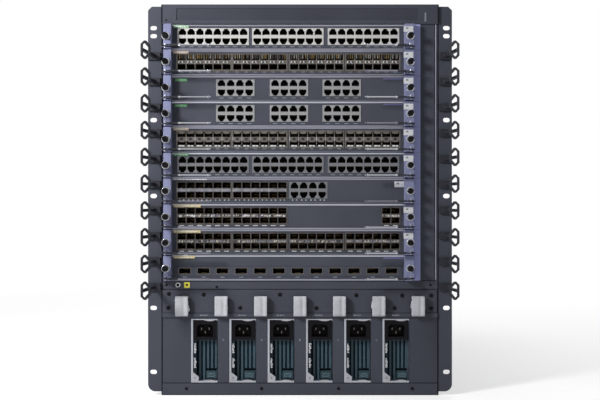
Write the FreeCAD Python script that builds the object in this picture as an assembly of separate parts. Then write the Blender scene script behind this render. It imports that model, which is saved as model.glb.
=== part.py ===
import FreeCAD, Part
import math
import os

# Modular chassis switch, 14 rack units high. Millimetres, +Z up, the front faces -Y, +X is the viewer's right.
# Origin: middle of the underside of the base. Every piece is written as one STEP file under parts/.

V = FreeCAD.Vector

# ---------------------------------------------------------------- overall sizes
chassis_width = 440.0
chassis_depth = 640.0
sheet = 1.5                  # folded steel of the tub, cage and frames
fit = 0.3                    # running gap between pieces that slide or drop in
seam = 0.1                   # gap between fixed pieces that lie side by side
small_round_sides = 8        # small turned pieces that repeat are drawn with this many flats
round_sides = 12

# ---------------------------------------------------------------- rack standard
ear_reach = 21.3                           # each ear beyond the side of the box: 482.6 across both
slot_from_side = 12.55                     # ear slots from the side of the box: 465.1 between the two columns
rack_unit = 44.45
rack_holes = (6.35, 22.225, 38.1)          # the three hole heights in one unit
rack_allowance = 2.3                       # the box is this much lower than its 14 units
rack_slots = ((1, 3), (4, 1), (8, 1), (-5, 3), (-2, 3), (-1, 1))   # (unit, hole) of each slot; -1 is the top unit
slot_length = 10.8
slot_width = 7.0

# ---------------------------------------------------------------- stack of the front, from the bottom
foot_strip_height = 19.4
lip_height = 6.6
header_height = 37.4
strip_height = 14.3
card_count = 10
card_pitch = 40.64
card_gap = 0.64

# ---------------------------------------------------------------- line cards
card_left_gap = 0.8          # from the tub's inner wall to the first card edge
right_bay = 38.6             # from the cards to the tub's right wall
cage_wall_gap = 1.6          # from the cards to the wall of the cage at their right
faceplate_thickness = 2.0
ledge_reach = 2.6            # lower lip of the faceplate, bent forwards
ledge_height = 2.2
flange_reach = 1.4           # upper edge of the faceplate, where it meets the next card's lip
flange_height = 2.6
board_thickness = 1.6
board_height = 5.0           # underside of the board above the card's lower edge
board_side_gap = 0.6         # from the board's edge to the web of its guide
rail_web = 1.5
rail_reach = 5.0             # guide across, from the wall to its tip
rail_lip = 1.5               # guide above and below the slot for the board
rail_gap = 0.5               # slot beyond each face of the board
midplane_distance = 385.0    # front of the box to the front of the midplane
midplane_thickness = 4.0
header_reach = 10.0          # connectors on the midplane
connector_length = 16.0
connector_height = 14.0
connector_width = 58.0
connector_places = (0.18, 0.74)            # along the board's width
sink_length = 90.0
sink_width = 64.0
sink_height = 20.0
sink_fins = 3

# port blocks: opening, wall to the next column, heights of the rows above the card's lower edge
jack_depth = 14.0            # pockets
cage_depth = 40.0
port_back = 7.0              # block behind its pockets
port_block_proud = 0.8
port_margin = 1.3
port_block_low = 6.8
port_block_high = 35.2
jack_width = 11.7
jack_wall = 2.15
wide_jack_wall = 2.9
jack_height = 9.5
jack_tab = 6.0               # width of the keyway for the plug's tab
jack_shoulder = 2.6
jack_rows = (9.0, 24.1)
sfp_width = 12.9
sfp_wall = 1.35
sfp_height = 9.0
sfp_rows = (9.5, 24.6)
qsfp_width = 18.2
qsfp_wall = 11.65
qsfp_height = 8.2
qsfp_row = 11.0
qsfp_roof = 3.0              # block above its openings

# ---------------------------------------------------------------- card end blocks, captive screws, ejector levers
block_width = 15.0
block_depth = 14.0
block_end_gap = 0.3
pivot_inset = 5.7            # lever pivot from the card's side edge
pivot_reach = 8.9            # lever pivot in front of the faceplate
pivot_radius = 1.5
pivot_gap = 0.1
lever_thickness = 1.8
lever_height = 3.2           # underside of the lever above the card's lower edge
lever_length = 73.0
lever_eye = 4.0
heel_turn = 55.0             # degrees: the arc of the heel starts and ends this far below straight across
lever_nose = 7.0
lever_reach = 12.5           # arm in front of the pivot
lever_width = 5.0
screw_inset = 6.4            # captive screw from the card's side edge
ferrule_radius = 6.4
ferrule_depth = 2.4
knob_radius = 4.75
knob_depth = 8.6

# ---------------------------------------------------------------- power supplies
psu_count = 6
psu_width = 42.0
psu_height = 101.0
psu_depth = 330.0
psu_spacing = 18.8           # between two power supplies
psu_gap = 0.6
psu_floor_gap = 0.8          # from the foot strip's level to the underside of a power supply
psu_headroom = 2.8           # above a power supply, with the shelf in it
psu_mouth = 22.0             # depth of the open front of its case
psu_lip_side = 3.2
psu_lip_top = 1.8
psu_lip_bottom = 2.6
psu_skin = 0.9
inlet_height = 31.4
inlet_middle = 22.1          # of the recess, from the left side of the case
inlet_recess_width = 25.6
inlet_recess_height = 19.6
inlet_recess_depth = 18.0
inlet_blade = (2.0, 4.0)     # thickness and width of a blade
inlet_blade_length = 12.5
rib_count = 5
rib_start = 11.4             # first rib from the left side of the case
rib_pitch = 6.35
rib_width = 2.5
rib_depth = 9.0
rib_plate = 3.0
latch_width = 17.0
latch_height = 12.4
latch_depth = 13.0
latch_travel = 3.0
latch_inset = 0.8            # latch from the right side of the mouth
latch_lift = 1.9             # latch above the lower lip, at rest

# ---------------------------------------------------------------- cable fingers on the ears
ear_thickness = 2.0
ear_flange = 30.0            # part of the ear that lies along the side of the box
ear_low = 6.0
ear_top_gap = 3.0            # from the top of the ears to the top of the box
ear_corner = 12.0
ear_chamfer = 6.0
finger_first = 50.7          # first finger below the top of the card stack
finger_reach = 66.0
finger_base_height = 12.0
finger_base_depth = 5.0
finger_arm = (4.0, 4.8)      # width and height of the arm
ring_height = 28.0
ring_width = 15.2
ring_bar = 3.6
ring_depth = 4.0
ring_toe = 20.0              # degrees that the ring turns back towards the ear

# ---------------------------------------------------------------- straps on the power header
strap_pitch = 62.2
strap_count = 7
strap_width = 20.0
strap_lift = 2.2             # straps above the lower edge of the lip
strap_height = 32.0
strap_depth = 9.6
strap_thickness = 2.2
strap_bevel = 2.4            # the loop's corners, inside
lug_bar = 2.4

# ---------------------------------------------------------------- bezel, labels, covers
bezel_gap = 0.4              # above the top card
bezel_height = 30.9
bezel_depth = 3.0
bezel_inset = 6.0
bezel_field = (-196.0, 187.0)
bezel_field_depth = 1.0
label_strip_width = 10.2
label_strip_depth = 1.2
cover_fold = 12.0            # edges of the top cover, folded down inside the walls
cover_depth = 1.5
lip_reach = 3.0
jack_ring = (-193.6, 4.0, 2.5)             # earthing jack: place, outer and inner radius
jack_ring_reach = 2.4

# ---------------------------------------------------------------- rear: fan trays
fan_tray_count = 2
fan_tray_width = 400.0
fan_tray_height = 190.0
fan_tray_spacing = 12.0
fan_tray_depth = 60.0
fan_count = 2
fan_margin = 20.0            # tray above and below a fan
fan_radius = 71.0
fan_hub = 30.0
fan_depth = 38.0
fan_spider = 3.0             # thickness of the arms that carry a fan's motor
fan_pitch = 184.0
fan_blades = 7
guard_bar = 6.0
tray_side_inset = 12.0
handle_width = 90.0
handle_reach = 24.0
handle_bar = 4.0
grip_drop = 16.0             # handle below the top of the tray

# ---------------------------------------------------------------- worked out from the above
front = -chassis_depth / 2
back = chassis_depth / 2
side = chassis_width / 2
inner = side - sheet
card_height = card_pitch - card_gap
card_width = 2 * inner - card_left_gap - right_bay
psu_low = foot_strip_height + psu_floor_gap
psu_pitch = psu_width + psu_spacing
lip_low = psu_low + psu_height + psu_headroom
header_low = lip_low + lip_height
strip_low = header_low + header_height
stack_low = strip_low + strip_height
stack_high = stack_low + card_count * card_pitch
chassis_height = stack_high + bezel_gap + bezel_height
card_left = -inner + card_left_gap
card_right = card_left + card_width
cage_right = card_right + cage_wall_gap    # inner face of the wall at the right of the cards
board_left = -inner + rail_web + board_side_gap
board_right = cage_right - rail_web - board_side_gap
board_rear = front + midplane_distance - header_reach - fit
ear_outer = side + ear_reach
ear_top = chassis_height - ear_top_gap
panel_top = chassis_height - sheet - cover_fold - 0.4      # front and rear plates, under the cover's folds
strap_low = lip_low + strap_lift
fan_size = fan_tray_height - 2 * fan_margin
fan_tray_pitch = fan_tray_height + fan_tray_spacing


def box(x0, x1, y0, y1, z0, z1):
    return Part.makeBox(x1 - x0, y1 - y0, z1 - z0, V(x0, y0, z0))


def face(points):
    return Part.Face(Part.makePolygon([*points, points[0]]))


def prism_x(points, x0, x1):               # outline given as (y, z)
    return face([V(x0, y, z) for y, z in points]).extrude(V(x1 - x0, 0, 0))


def prism_y(points, y0, y1):               # outline given as (x, z)
    return face([V(x, y0, z) for x, z in points]).extrude(V(0, y1 - y0, 0))


def prism_z(points, z0, z1):               # outline given as (x, y)
    return face([V(x, y, z0) for x, y in points]).extrude(V(0, 0, z1 - z0))


def ngon(count, radius, turn=0.0):
    step = 2 * math.pi / count
    return [(radius * math.cos(step * i + turn), radius * math.sin(step * i + turn)) for i in range(count)]


def post_y(x, y0, y1, z, radius, sides):   # a round piece along Y, drawn with flats
    return prism_y([(x + a, z + b) for a, b in ngon(sides, radius)], y0, y1)


def fused(pieces):
    return pieces[0].multiFuse(pieces[1:]).removeSplitter() if len(pieces) > 1 else pieces[0]


def mirrored(shape, x=0.0):                # the same piece on the other side of a plane across X
    return shape.mirror(V(x, 0, 0), V(1, 0, 0))


def moved(shape, x=0.0, y=0.0, z=0.0):
    copy = shape.copy()
    copy.translate(V(x, y, z))
    return copy


def write(name, pieces):
    solids = [s for p in pieces for s in p.Solids]
    shape = solids[0] if len(solids) == 1 else Part.makeCompound(solids)
    shape.exportStep(f"parts/{name}.step")
    print(name, len(solids), "solids, valid", shape.isValid())


# ================================================================ box of the chassis
def chassis_tub():
    # base and both side walls are one folded sheet, with a row of air slots high in each wall
    top = chassis_height - sheet
    tub = prism_y([(-side, 0), (side, 0), (side, top), (inner, top), (inner, sheet), (-inner, sheet),
                   (-inner, top), (-side, top)], front, back)
    slots = []
    for row in range(card_count):
        z = stack_low + card_pitch * (row + 0.5)
        slots.append(box(-side - 1, side + 1, front + 110, front + 330, z - 4, z + 4))
    return tub.cut(Part.makeCompound(slots))


def top_cover():
    # plate with both edges folded down inside the walls
    low = chassis_height - sheet
    rim = inner - seam
    foot = low - cover_fold
    return prism_y([(-side, chassis_height), (-side, low), (-rim, low), (-rim, foot), (-rim + sheet, foot),
                    (-rim + sheet, low), (rim - sheet, low), (rim - sheet, foot), (rim, foot),
                    (rim, low), (side, low), (side, chassis_height)], front, back)


def psu_x(index):                          # left side of a power supply
    return (index - (psu_count - 1) / 2) * psu_pitch - psu_width / 2


def inner_cage():
    # welded sheet: shelf under the cards, floor and dividers of the power bay, wall at the right of the cards
    start = front + sheet + seam
    depth = front + psu_depth + 20
    floor = psu_low - psu_gap
    roof = psu_low + psu_height + psu_gap
    pieces = [box(-inner + seam, inner - seam, start, depth, floor - sheet, floor),
              box(-inner + seam, inner - seam, start, back - 70, roof, roof + sheet)]
    for i in range(psu_count):
        for x in (psu_x(i) - psu_gap - sheet, psu_x(i) + psu_width + psu_gap):
            pieces.append(box(x, x + sheet, start, depth, floor - sheet, roof + sheet))
    pieces.append(box(cage_right, cage_right + sheet, start, front + midplane_distance - 1,
                      roof + sheet / 2, stack_high + 20))
    for x in (-inner + 30, inner - 30 - sheet):            # feet under the floor of the power bay
        pieces.append(box(x, x + sheet, start + 4, depth, sheet, floor - sheet / 2))
    return fused(pieces)


def front_frame():
    # one punched and folded plate round the cards and the power supplies, open at the left of the cards
    left = -inner + seam
    right = inner - seam
    low = sheet + seam
    pillar = card_right + 1.0
    plate = prism_y([(left, low), (right, low), (right, panel_top), (left, panel_top), (left, stack_high + seam),
                     (pillar, stack_high + seam), (pillar, stack_low - fit), (left, stack_low - fit)],
                    front, front + sheet)
    openings = [box(psu_x(i) - psu_gap, psu_x(i) + psu_width + psu_gap, front - 1, front + sheet + 1,
                    psu_low - psu_gap, psu_low + psu_height + psu_gap) for i in range(psu_count)]
    plate = plate.cut(Part.makeCompound(openings))
    lip = box(left, right, front - lip_reach, front, lip_low, header_low - seam)
    edge = box(right - 2.6, right, front - 1.0, front, header_low + header_height + 1, stack_high)
    return fused([plate, lip, edge])


def fan_tray_z(index):
    middle = (stack_low + stack_high) / 2
    return middle + (index - (fan_tray_count - 1) / 2) * fan_tray_pitch


def rear_panel():
    # closes the back between the walls: an opening for each fan tray and a slotted field behind each power supply
    panel = box(-inner + seam, inner - seam, back - sheet, back, sheet + seam, panel_top)
    half = fan_tray_width / 2 - tray_side_inset + fit
    cuts = []
    for i in range(fan_tray_count):
        z = fan_tray_z(i)
        cuts.append(box(-half, half, back - 5, back + 1, z - fan_tray_height / 2 + 8, z + fan_tray_height / 2 - 8))
    for i in range(psu_count):
        cuts.append(box(psu_x(i) + 6, psu_x(i) + psu_width - 6, back - 5, back + 1, psu_low + 12, psu_low + 88))
    return panel.cut(Part.makeCompound(cuts))


def midplane_board():
    # upright circuit board behind the cards, with two headers for each card
    y = front + midplane_distance
    plate = box(-inner + fit, cage_right + sheet, y, y + midplane_thickness, stack_low - 4, stack_high + 4)
    headers = []
    for card in range(card_count):
        for x in connector_x():
            headers.append(box(x, x + connector_width, y - header_reach, y, card_z(card) + board_height,
                               card_z(card) + board_height + board_thickness + connector_height))
    return [plate, *headers]


def card_z(index):                         # lower edge of a card; index 0 is the top one
    return stack_low + (card_count - 1 - index) * card_pitch


def connector_x():
    return [board_left + share * (board_right - board_left) - connector_width / 2 for share in connector_places]


def guide_rail(x_wall, inward):
    # C-shaped moulding that a board's edge runs in
    slot_low = board_height - rail_gap
    slot_high = board_height + board_thickness + rail_gap
    low = slot_low - rail_lip
    high = slot_high + rail_lip
    web = x_wall + inward * rail_web
    tip = x_wall + inward * rail_reach
    outline = [(x_wall, low), (tip, low), (tip, slot_low), (web, slot_low),
               (web, slot_high), (tip, slot_high), (tip, high), (x_wall, high)]
    return prism_y(outline, front + 8, front + midplane_distance - 8)


def card_guides():
    rails = []
    for card in range(card_count):
        rails.append(moved(guide_rail(-inner, 1), z=card_z(card)))
        rails.append(moved(guide_rail(cage_right, -1), z=card_z(card)))
    return rails


# ================================================================ rack ears and cable fingers
def rack_slot_heights():
    lift = -rack_allowance / 2
    units = math.floor((chassis_height + rack_allowance) / rack_unit + 0.01)
    rows = [(unit - 1 if unit > 0 else units + unit, hole) for unit, hole in rack_slots]
    return [row * rack_unit + rack_holes[hole - 1] + lift for row, hole in rows]


def rack_slot(x, z):
    # obround, long way across
    run = (slot_length - slot_width) / 2
    radius = slot_width / 2
    deep = ear_thickness + 2
    ends = [Part.makeCylinder(radius, deep, V(x + s * run, front - 1, z), V(0, 1, 0)) for s in (-1, 1)]
    return fused([box(x - run, x + run, front - 1, front - 1 + deep, z - radius, z + radius), *ends])


def rack_ear():
    # right ear: the flange that meets the rack post, with slots, and the flange that lies on the box
    front_flange = prism_y([(side, ear_low), (ear_outer, ear_low), (ear_outer, ear_top - ear_chamfer),
                            (ear_outer - ear_chamfer, ear_top), (side, ear_top)], front, front + ear_thickness)
    corner = [e for e in front_flange.Edges if all(abs(v.X - ear_outer) < 1e-6 and abs(v.Z - ear_low) < 1e-6
                                                   for v in e.Vertexes)]
    front_flange = front_flange.makeFillet(ear_corner, corner)
    side_flange = box(side, side + ear_thickness, front, front + ear_flange, ear_low, ear_top)
    ear = fused([front_flange, side_flange])
    return ear.cut(Part.makeCompound([rack_slot(side + slot_from_side, z) for z in rack_slot_heights()]))


def cable_finger():
    # right finger at height 0: base on the ear, arm running forwards, and the closed D at its end.
    # The D's straight bar is the outer one; the ring turns back towards the ear by ring_toe degrees.
    outer = ear_outer - 0.4
    base = box(side + 0.8, outer, front - finger_base_depth, front, -finger_base_height / 2, finger_base_height / 2)
    tip = front - finger_reach
    half = ring_height / 2
    outline = [(0, half - 5), (-5, half), (-8.4, half), (-ring_width, half - 7.5), (-ring_width, 7.5 - half),
               (-8.4, -half), (-5, -half), (0, 5 - half)]
    hole = [(-ring_bar, half - ring_bar - 2.6), (-6.2, half - ring_bar), (ring_bar - ring_width, half - 9.6),
            (ring_bar - ring_width, 9.6 - half), (-6.2, ring_bar - half), (-ring_bar, ring_bar + 2.6 - half)]
    ring = prism_y(outline, 0, ring_depth).cut(prism_y(hole, -1, ring_depth + 1))
    ring.rotate(V(0, 0, 0), V(0, 0, 1), -ring_toe)
    ring.translate(V(outer, tip, 0))
    width, height = finger_arm
    root = side + 8.0
    arm = prism_z([(outer - 0.4, tip + 2), (outer - 0.4, tip + 10), (root + width + 2, front - finger_base_depth + 1),
                   (root, front - finger_base_depth + 1), (outer - width, tip + 3)], -height / 2, height / 2)
    return fused([base, arm, ring])


def cable_rings():
    right = cable_finger()
    left = mirrored(right)
    fingers = []
    for row in range(card_count):
        z = stack_high - finger_first - card_pitch * row
        fingers += [moved(left, z=z), moved(right, z=z)]
    return fingers


# ================================================================ covers, labels and trim of the front
def top_bezel():
    low = stack_high + bezel_gap
    plate = box(-side, side, front - bezel_depth, front, low, chassis_height)
    field = box(bezel_field[0], bezel_field[1], front - bezel_depth - 1, front - bezel_depth + bezel_field_depth,
                low + bezel_inset, chassis_height - bezel_inset)
    return plate.cut(field)


def slot_label_strip():
    left = card_right + 1.0
    return box(left, left + label_strip_width, front - label_strip_depth, front, stack_low, stack_high)


def strap_x(index):
    return (index - (strap_count - 1) / 2) * strap_pitch


strap_back = front - lip_reach - fit       # the rear run of each strap clears the lip


def strap_lug(x):
    # staple on the header panel that a strap hangs from
    half = strap_width / 2 + fit
    top = strap_low + strap_height - strap_thickness - strap_bevel - fit
    near = strap_back - strap_thickness - fit
    foot = front - cover_depth + 0.2
    bar = box(x - half - lug_bar, x + half + lug_bar, near - lug_bar, near, top - lug_bar, top)
    legs = [box(x + s * (half + lug_bar / 2) - lug_bar / 2, x + s * (half + lug_bar / 2) + lug_bar / 2,
                near - lug_bar / 2, foot, top - lug_bar, top) for s in (-1, 1)]
    return fused([bar, *legs])


def power_header_panel():
    panel = box(-inner + 0.5, inner - 1.6, front - cover_depth, front, header_low + fit, strip_low - 1.0)
    return fused([panel, *[strap_lug(strap_x(i)) for i in range(strap_count)]])


def foot_strip():
    return box(-inner + 0.5, inner - 0.5, front - cover_depth, front, sheet + 0.4, foot_strip_height - 0.6)


def loop_outline(y, z, depth, height, bevel):
    # flattened loop seen from the side, from its rear lower corner
    return [(y, z + bevel), (y, z + height - bevel), (y - bevel, z + height), (y - depth + bevel, z + height),
            (y - depth, z + height - bevel), (y - depth, z + bevel), (y - depth + bevel, z), (y - bevel, z)]


def cord_straps():
    t = strap_thickness
    half = strap_width / 2
    outer = loop_outline(strap_back, strap_low, strap_depth, strap_height, strap_bevel + t * 0.6)
    hollow = loop_outline(strap_back - t, strap_low + t, strap_depth - 2 * t, strap_height - 2 * t, strap_bevel)
    band = prism_x(outer, -half, half).cut(prism_x(hollow, -half - 1, half + 1))
    return [moved(band, x=strap_x(i)) for i in range(strap_count)]


def esd_socket():
    x, outer, bore = jack_ring
    z = strip_low + strip_height / 2
    ring = post_y(x, front - jack_ring_reach, front, z, outer, round_sides)
    return ring.cut(post_y(x, front - jack_ring_reach - 1, front - 0.4, z, bore, small_round_sides))


# ================================================================ line cards
def jack_opening(x, z, up):
    # outline of a modular jack: the keyway for the plug's tab is at the top of the upper row, the bottom of the lower
    w, t, s = jack_width / 2, jack_tab / 2, jack_shoulder
    outline = [(-w, 0), (w, 0), (w, jack_height - s), (t, jack_height), (-t, jack_height), (-w, jack_height - s)]
    if not up:
        outline = [(a, jack_height - b) for a, b in outline]
    return [(x + a, z + b) for a, b in outline]


def slot_opening(x, z, width, height):
    return [(x - width / 2, z), (x + width / 2, z), (x + width / 2, z + height), (x - width / 2, z + height)]


def column_centres(middle, columns, pitch):
    return [middle + (i - (columns - 1) / 2) * pitch for i in range(columns)]


def jack_outlines(middle, columns, pitch):
    low, high = jack_rows
    return [o for x in column_centres(middle, columns, pitch)
            for o in (jack_opening(x, low, False), jack_opening(x, high, True))]


def sfp_outlines(middle, columns, pitch):
    return [slot_opening(x, z, sfp_width, sfp_height)
            for x in column_centres(middle, columns, pitch) for z in sfp_rows]


def qsfp_outlines(middle, columns, pitch):
    return [slot_opening(x, qsfp_row, qsfp_width, qsfp_height) for x in column_centres(middle, columns, pitch)]


# a group of ports: its outlines, its middle from the card's left edge, its columns, their pitch
jack_pitch = jack_width + jack_wall
wide_jack_pitch = jack_width + wide_jack_wall
sfp_pitch = sfp_width + sfp_wall
jack_groups = [(jack_outlines, x, 8, jack_pitch) for x in (79.7, 198.4, 318.5)]
wide_jack_groups = [(jack_outlines, x, 4, wide_jack_pitch) for x in (115.0, 200.1, 283.9)]
sfp_groups = [(sfp_outlines, x, 6, sfp_pitch) for x in (65.4, 153.9, 244.0, 333.3)]
qsfp_groups = [(qsfp_outlines, 199.0, 12, qsfp_width + qsfp_wall)]
card_layouts = [
    jack_groups,
    sfp_groups,
    wide_jack_groups,
    wide_jack_groups,
    sfp_groups,
    jack_groups,
    [*sfp_groups[:2], (jack_outlines, 230.9, 4, wide_jack_pitch)],
    [*sfp_groups[:2], (sfp_outlines, 362.1, 2, sfp_pitch)],
    sfp_groups,
    qsfp_groups,
]


def port_block(group):
    # moulded or folded housing behind the faceplate, with one pocket for each plug
    outlines, offset, columns, pitch = group
    middle = card_left + offset
    half = columns * pitch / 2 + port_margin
    high = port_block_high if outlines is not qsfp_outlines else qsfp_row + qsfp_height + qsfp_roof
    near = front - port_block_proud
    deep = near + (jack_depth if outlines is jack_outlines else cage_depth)
    block = box(middle - half, middle + half, near, deep + port_back, port_block_low, high)
    pockets = [prism_y(o, near - 1, deep) for o in outlines(middle, columns, pitch)]
    return block.cut(Part.makeCompound(pockets)), (middle - half, middle + half, high)


def faceplate(windows):
    plate = box(card_left, card_right, front, front + faceplate_thickness, 0, card_height)
    left, right = card_left + block_width, card_right - block_width
    ledge = box(left, right, front - ledge_reach, front, 0, ledge_height)
    flange = box(left, right, front - flange_reach, front, card_height - flange_height, card_height)
    cuts = [box(x0 - seam, x1 + seam, front - 1, front + faceplate_thickness + 1, port_block_low - seam, high + seam)
            for x0, x1, high in windows]
    return fused([plate, ledge, flange]).cut(Part.makeCompound(cuts))


def end_block():
    # left block: slotted for the lever, with the lever's pivot pin moulded across the slot
    x0, x1 = card_left, card_left + block_width
    block = box(x0, x1, front - block_depth, front, block_end_gap, card_height - block_end_gap)
    low = lever_height - fit
    high = lever_height + lever_thickness + fit
    slot = box(x0 - 1, x1 + 1, front - block_depth - 1, front - 1.6, low, high)
    pin = prism_z([(card_left + pivot_inset + a, front - pivot_reach + b)
                   for a, b in ngon(small_round_sides, pivot_radius)], low, high)
    return fused([block.cut(slot), pin])


def captive_screw():
    # ferrule pressed into the end block, and the fluted knob of the screw
    x, z = card_left + screw_inset, card_height / 2
    seat = front - block_depth
    ferrule = post_y(x, seat - ferrule_depth, seat, z, ferrule_radius, small_round_sides)
    knob = post_y(x, seat - ferrule_depth - knob_depth, seat - ferrule_depth, z, knob_radius, small_round_sides)
    return fused([ferrule, knob])


def heat_sink():
    middle = (board_left + board_right) / 2 + 20
    y = front + 150
    low = board_height + board_thickness
    step = sink_width / (sink_fins * 2 - 1)
    outline = [(0, low), (sink_width, low)]
    for i in range(sink_fins):
        x = sink_width - 2 * i * step
        outline += [(x, low + sink_height), (x - step, low + sink_height)]
        if i < sink_fins - 1:
            outline += [(x - step, low + 3), (x - 2 * step, low + 3)]
    return prism_y([(middle + a - sink_width / 2, b) for a, b in outline], y, y + sink_length)


def card(index):
    blocks, windows = zip(*[port_block(g) for g in card_layouts[index]])
    board = box(board_left, board_right, front + faceplate_thickness, board_rear,
                board_height, board_height + board_thickness)
    top = board_height + board_thickness
    connectors = [box(x, x + connector_width, board_rear - connector_length, board_rear, top, top + connector_height)
                  for x in connector_x()]
    middle = (card_left + card_right) / 2
    ends = [end_block(), captive_screw()]
    ends += [mirrored(piece, middle) for piece in ends]
    pieces = [faceplate(windows), *blocks, board, *connectors, heat_sink(), *ends]
    return [moved(piece, z=card_z(index)) for piece in pieces]


def lever():
    # left ejector lever, closed: eye on the pivot, nose beside the box, arm along the front of the card
    x, y = card_left + pivot_inset, front - pivot_reach
    near, far = lever_reach, lever_reach + lever_width
    outline = [(-lever_nose, -1.6), (-lever_nose, 2.2), (-2.0, lever_eye), (3.5, far), (lever_length - 4, far),
               (lever_length - 2, far + 2.5), (lever_length, far + 2.5), (lever_length, near), (7.5, near),
               (lever_eye, 0.5)]
    corners = [V(x + a, y - b, lever_height) for a, b in outline]
    heel = [V(x + lever_eye * math.cos(math.radians(t)), y - lever_eye * math.sin(math.radians(t)), lever_height)
            for t in (-heel_turn, -90, heel_turn - 180)]
    edges = [*Part.makePolygon([heel[2], *corners, heel[0]]).Edges, Part.Arc(*heel).toShape()]
    plate = Part.Face(Part.Wire(edges)).extrude(V(0, 0, lever_thickness))
    radius = (pivot_radius + pivot_gap) / math.cos(math.pi / small_round_sides)
    eye = prism_z([(x + a, y + b) for a, b in ngon(small_round_sides, radius)],
                  lever_height - 1, lever_height + lever_thickness + 1)
    return plate.cut(eye)


# ================================================================ power supplies
def psu_case():
    # folded case, open at the front round the inlet and the grille, and closed behind
    outer = box(0, psu_width, front, front + psu_depth, 0, psu_height)
    mouth = box(psu_lip_side, psu_width - psu_skin, front - 1, front + psu_mouth, psu_lip_bottom,
                psu_height - psu_lip_top)
    return outer.cut(mouth)


def psu_inlet():
    left, right = psu_lip_side + seam, psu_width - psu_skin - seam
    high = psu_height - psu_lip_top - seam
    low = high - inlet_height
    body = box(left, right, front + 0.6, front + psu_mouth, low, high)
    cx, cz = inlet_middle, low + 14.5
    w, h, c = inlet_recess_width / 2, inlet_recess_height / 2, 4.0
    recess = [(-w, -h), (w, -h), (w, h - c), (w - c, h), (c - w, h), (-w, h - c)]
    recess = prism_y([(cx + a, cz + b) for a, b in recess], front - 1, front + 0.6 + inlet_recess_depth)
    t, b = inlet_blade
    deep = front + 0.6 + inlet_recess_depth
    blades = [box(cx + a - t / 2, cx + a + t / 2, deep - inlet_blade_length, deep, cz + d - b / 2, cz + d + b / 2)
              for a, d in ((-6.2, 2.2), (6.2, 2.2), (0.0, -3.4))]
    return [body.cut(recess), *blades]


def latch_x():
    return psu_width - psu_skin - latch_inset - latch_width


def psu_grille():
    # plate with upright ribs; the ribs over the latch stop short of it
    left, right = psu_lip_side + seam, psu_width - psu_skin - seam
    low = psu_lip_bottom + seam
    high = psu_height - psu_lip_top - inlet_height - 2 * seam
    y = front + psu_mouth - rib_plate
    plate = box(left, right, y, front + psu_mouth, low, high)
    ribs = []
    for i in range(rib_count):
        x = rib_start + i * rib_pitch
        over_latch = x + rib_width > latch_x() - 1
        foot = psu_lip_bottom + latch_lift + latch_height + latch_travel + 1.0 if over_latch else low
        ribs.append(box(x, x + rib_width, y - rib_depth, y, foot, high))
    return fused([plate, *ribs])


def psu_details():
    corner = prism_y([(psu_lip_side, psu_lip_bottom), (psu_lip_side + 7.6, psu_lip_bottom),
                      (psu_lip_side + 9.2, psu_lip_bottom + 6.4), (psu_lip_side, psu_lip_bottom + 14.0)],
                     front, front + 1.2)
    springs = []
    for z, sign in ((psu_height - psu_lip_top, -1), (psu_lip_bottom, 1)):
        springs.append(prism_y([(21, z), (25, z + sign * 1.6), (34, z + sign * 1.6), (38, z)], front, front + 0.5))
    return corner, springs


def power_supply():
    corner, springs = psu_details()
    case = fused([psu_case(), corner, *springs])
    return [case, *psu_inlet(), psu_grille()]


def psu_latch():
    # push-up release block at the lower right of the front
    x = latch_x()
    y = front + psu_mouth - rib_plate - fit
    low = psu_lip_bottom + latch_lift
    outline = [(y, low), (y, low + latch_height), (y - latch_depth + 4, low + latch_height),
               (y - latch_depth, low + latch_height - 4), (y - latch_depth, low)]
    return prism_x(outline, x, x + latch_width)


# ================================================================ fan trays at the rear
def fan_housing(x, z):
    # square frame with a round duct, and the arms behind it that carry the motor
    half = fan_size / 2
    deep = back - fan_depth
    frame = box(x - half, x + half, deep, back, z - half, z + half)
    frame = frame.cut(post_y(x, deep - 1, back + 1, z, fan_radius, round_sides))
    arms = [box(x - half + 1, x + half - 1, deep, deep + fan_spider, z - guard_bar / 2, z + guard_bar / 2),
            box(x - guard_bar / 2, x + guard_bar / 2, deep, deep + fan_spider, z - half + 1, z + half - 1)]
    return fused([frame, *arms])


def fan_rotor(x, z):
    # hub that runs on the motor, with pitched blades
    near = back - fan_depth + fan_spider + fit
    hub = post_y(x, near, back - 6, z, fan_hub, small_round_sides)
    blades = []
    for i in range(fan_blades):
        blade = Part.makeBox(2.0, 26.0, fan_radius - fan_hub - 4.0, V(-1.0, -13.0, fan_hub - 2.0))
        blade.rotate(V(0, 0, 0), V(0, 0, 1), 40)
        blade.rotate(V(0, 0, 0), V(0, 1, 0), 360.0 / fan_blades * i)
        blades.append(moved(blade, x, (near + back - 6) / 2, z))
    return fused([hub, *blades])


def guard_cuts(x, z):
    # round window of a fan, left with a cross of bars
    disc = post_y(x, back - 1, back + 4, z, fan_radius - 2, round_sides)
    half = guard_bar / 2
    cross = fused([box(x - fan_radius, x + fan_radius, back - 2, back + 5, z - half, z + half),
                   box(x - half, x + half, back - 2, back + 5, z - fan_radius, z + fan_radius)])
    return disc.cut(cross)


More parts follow.
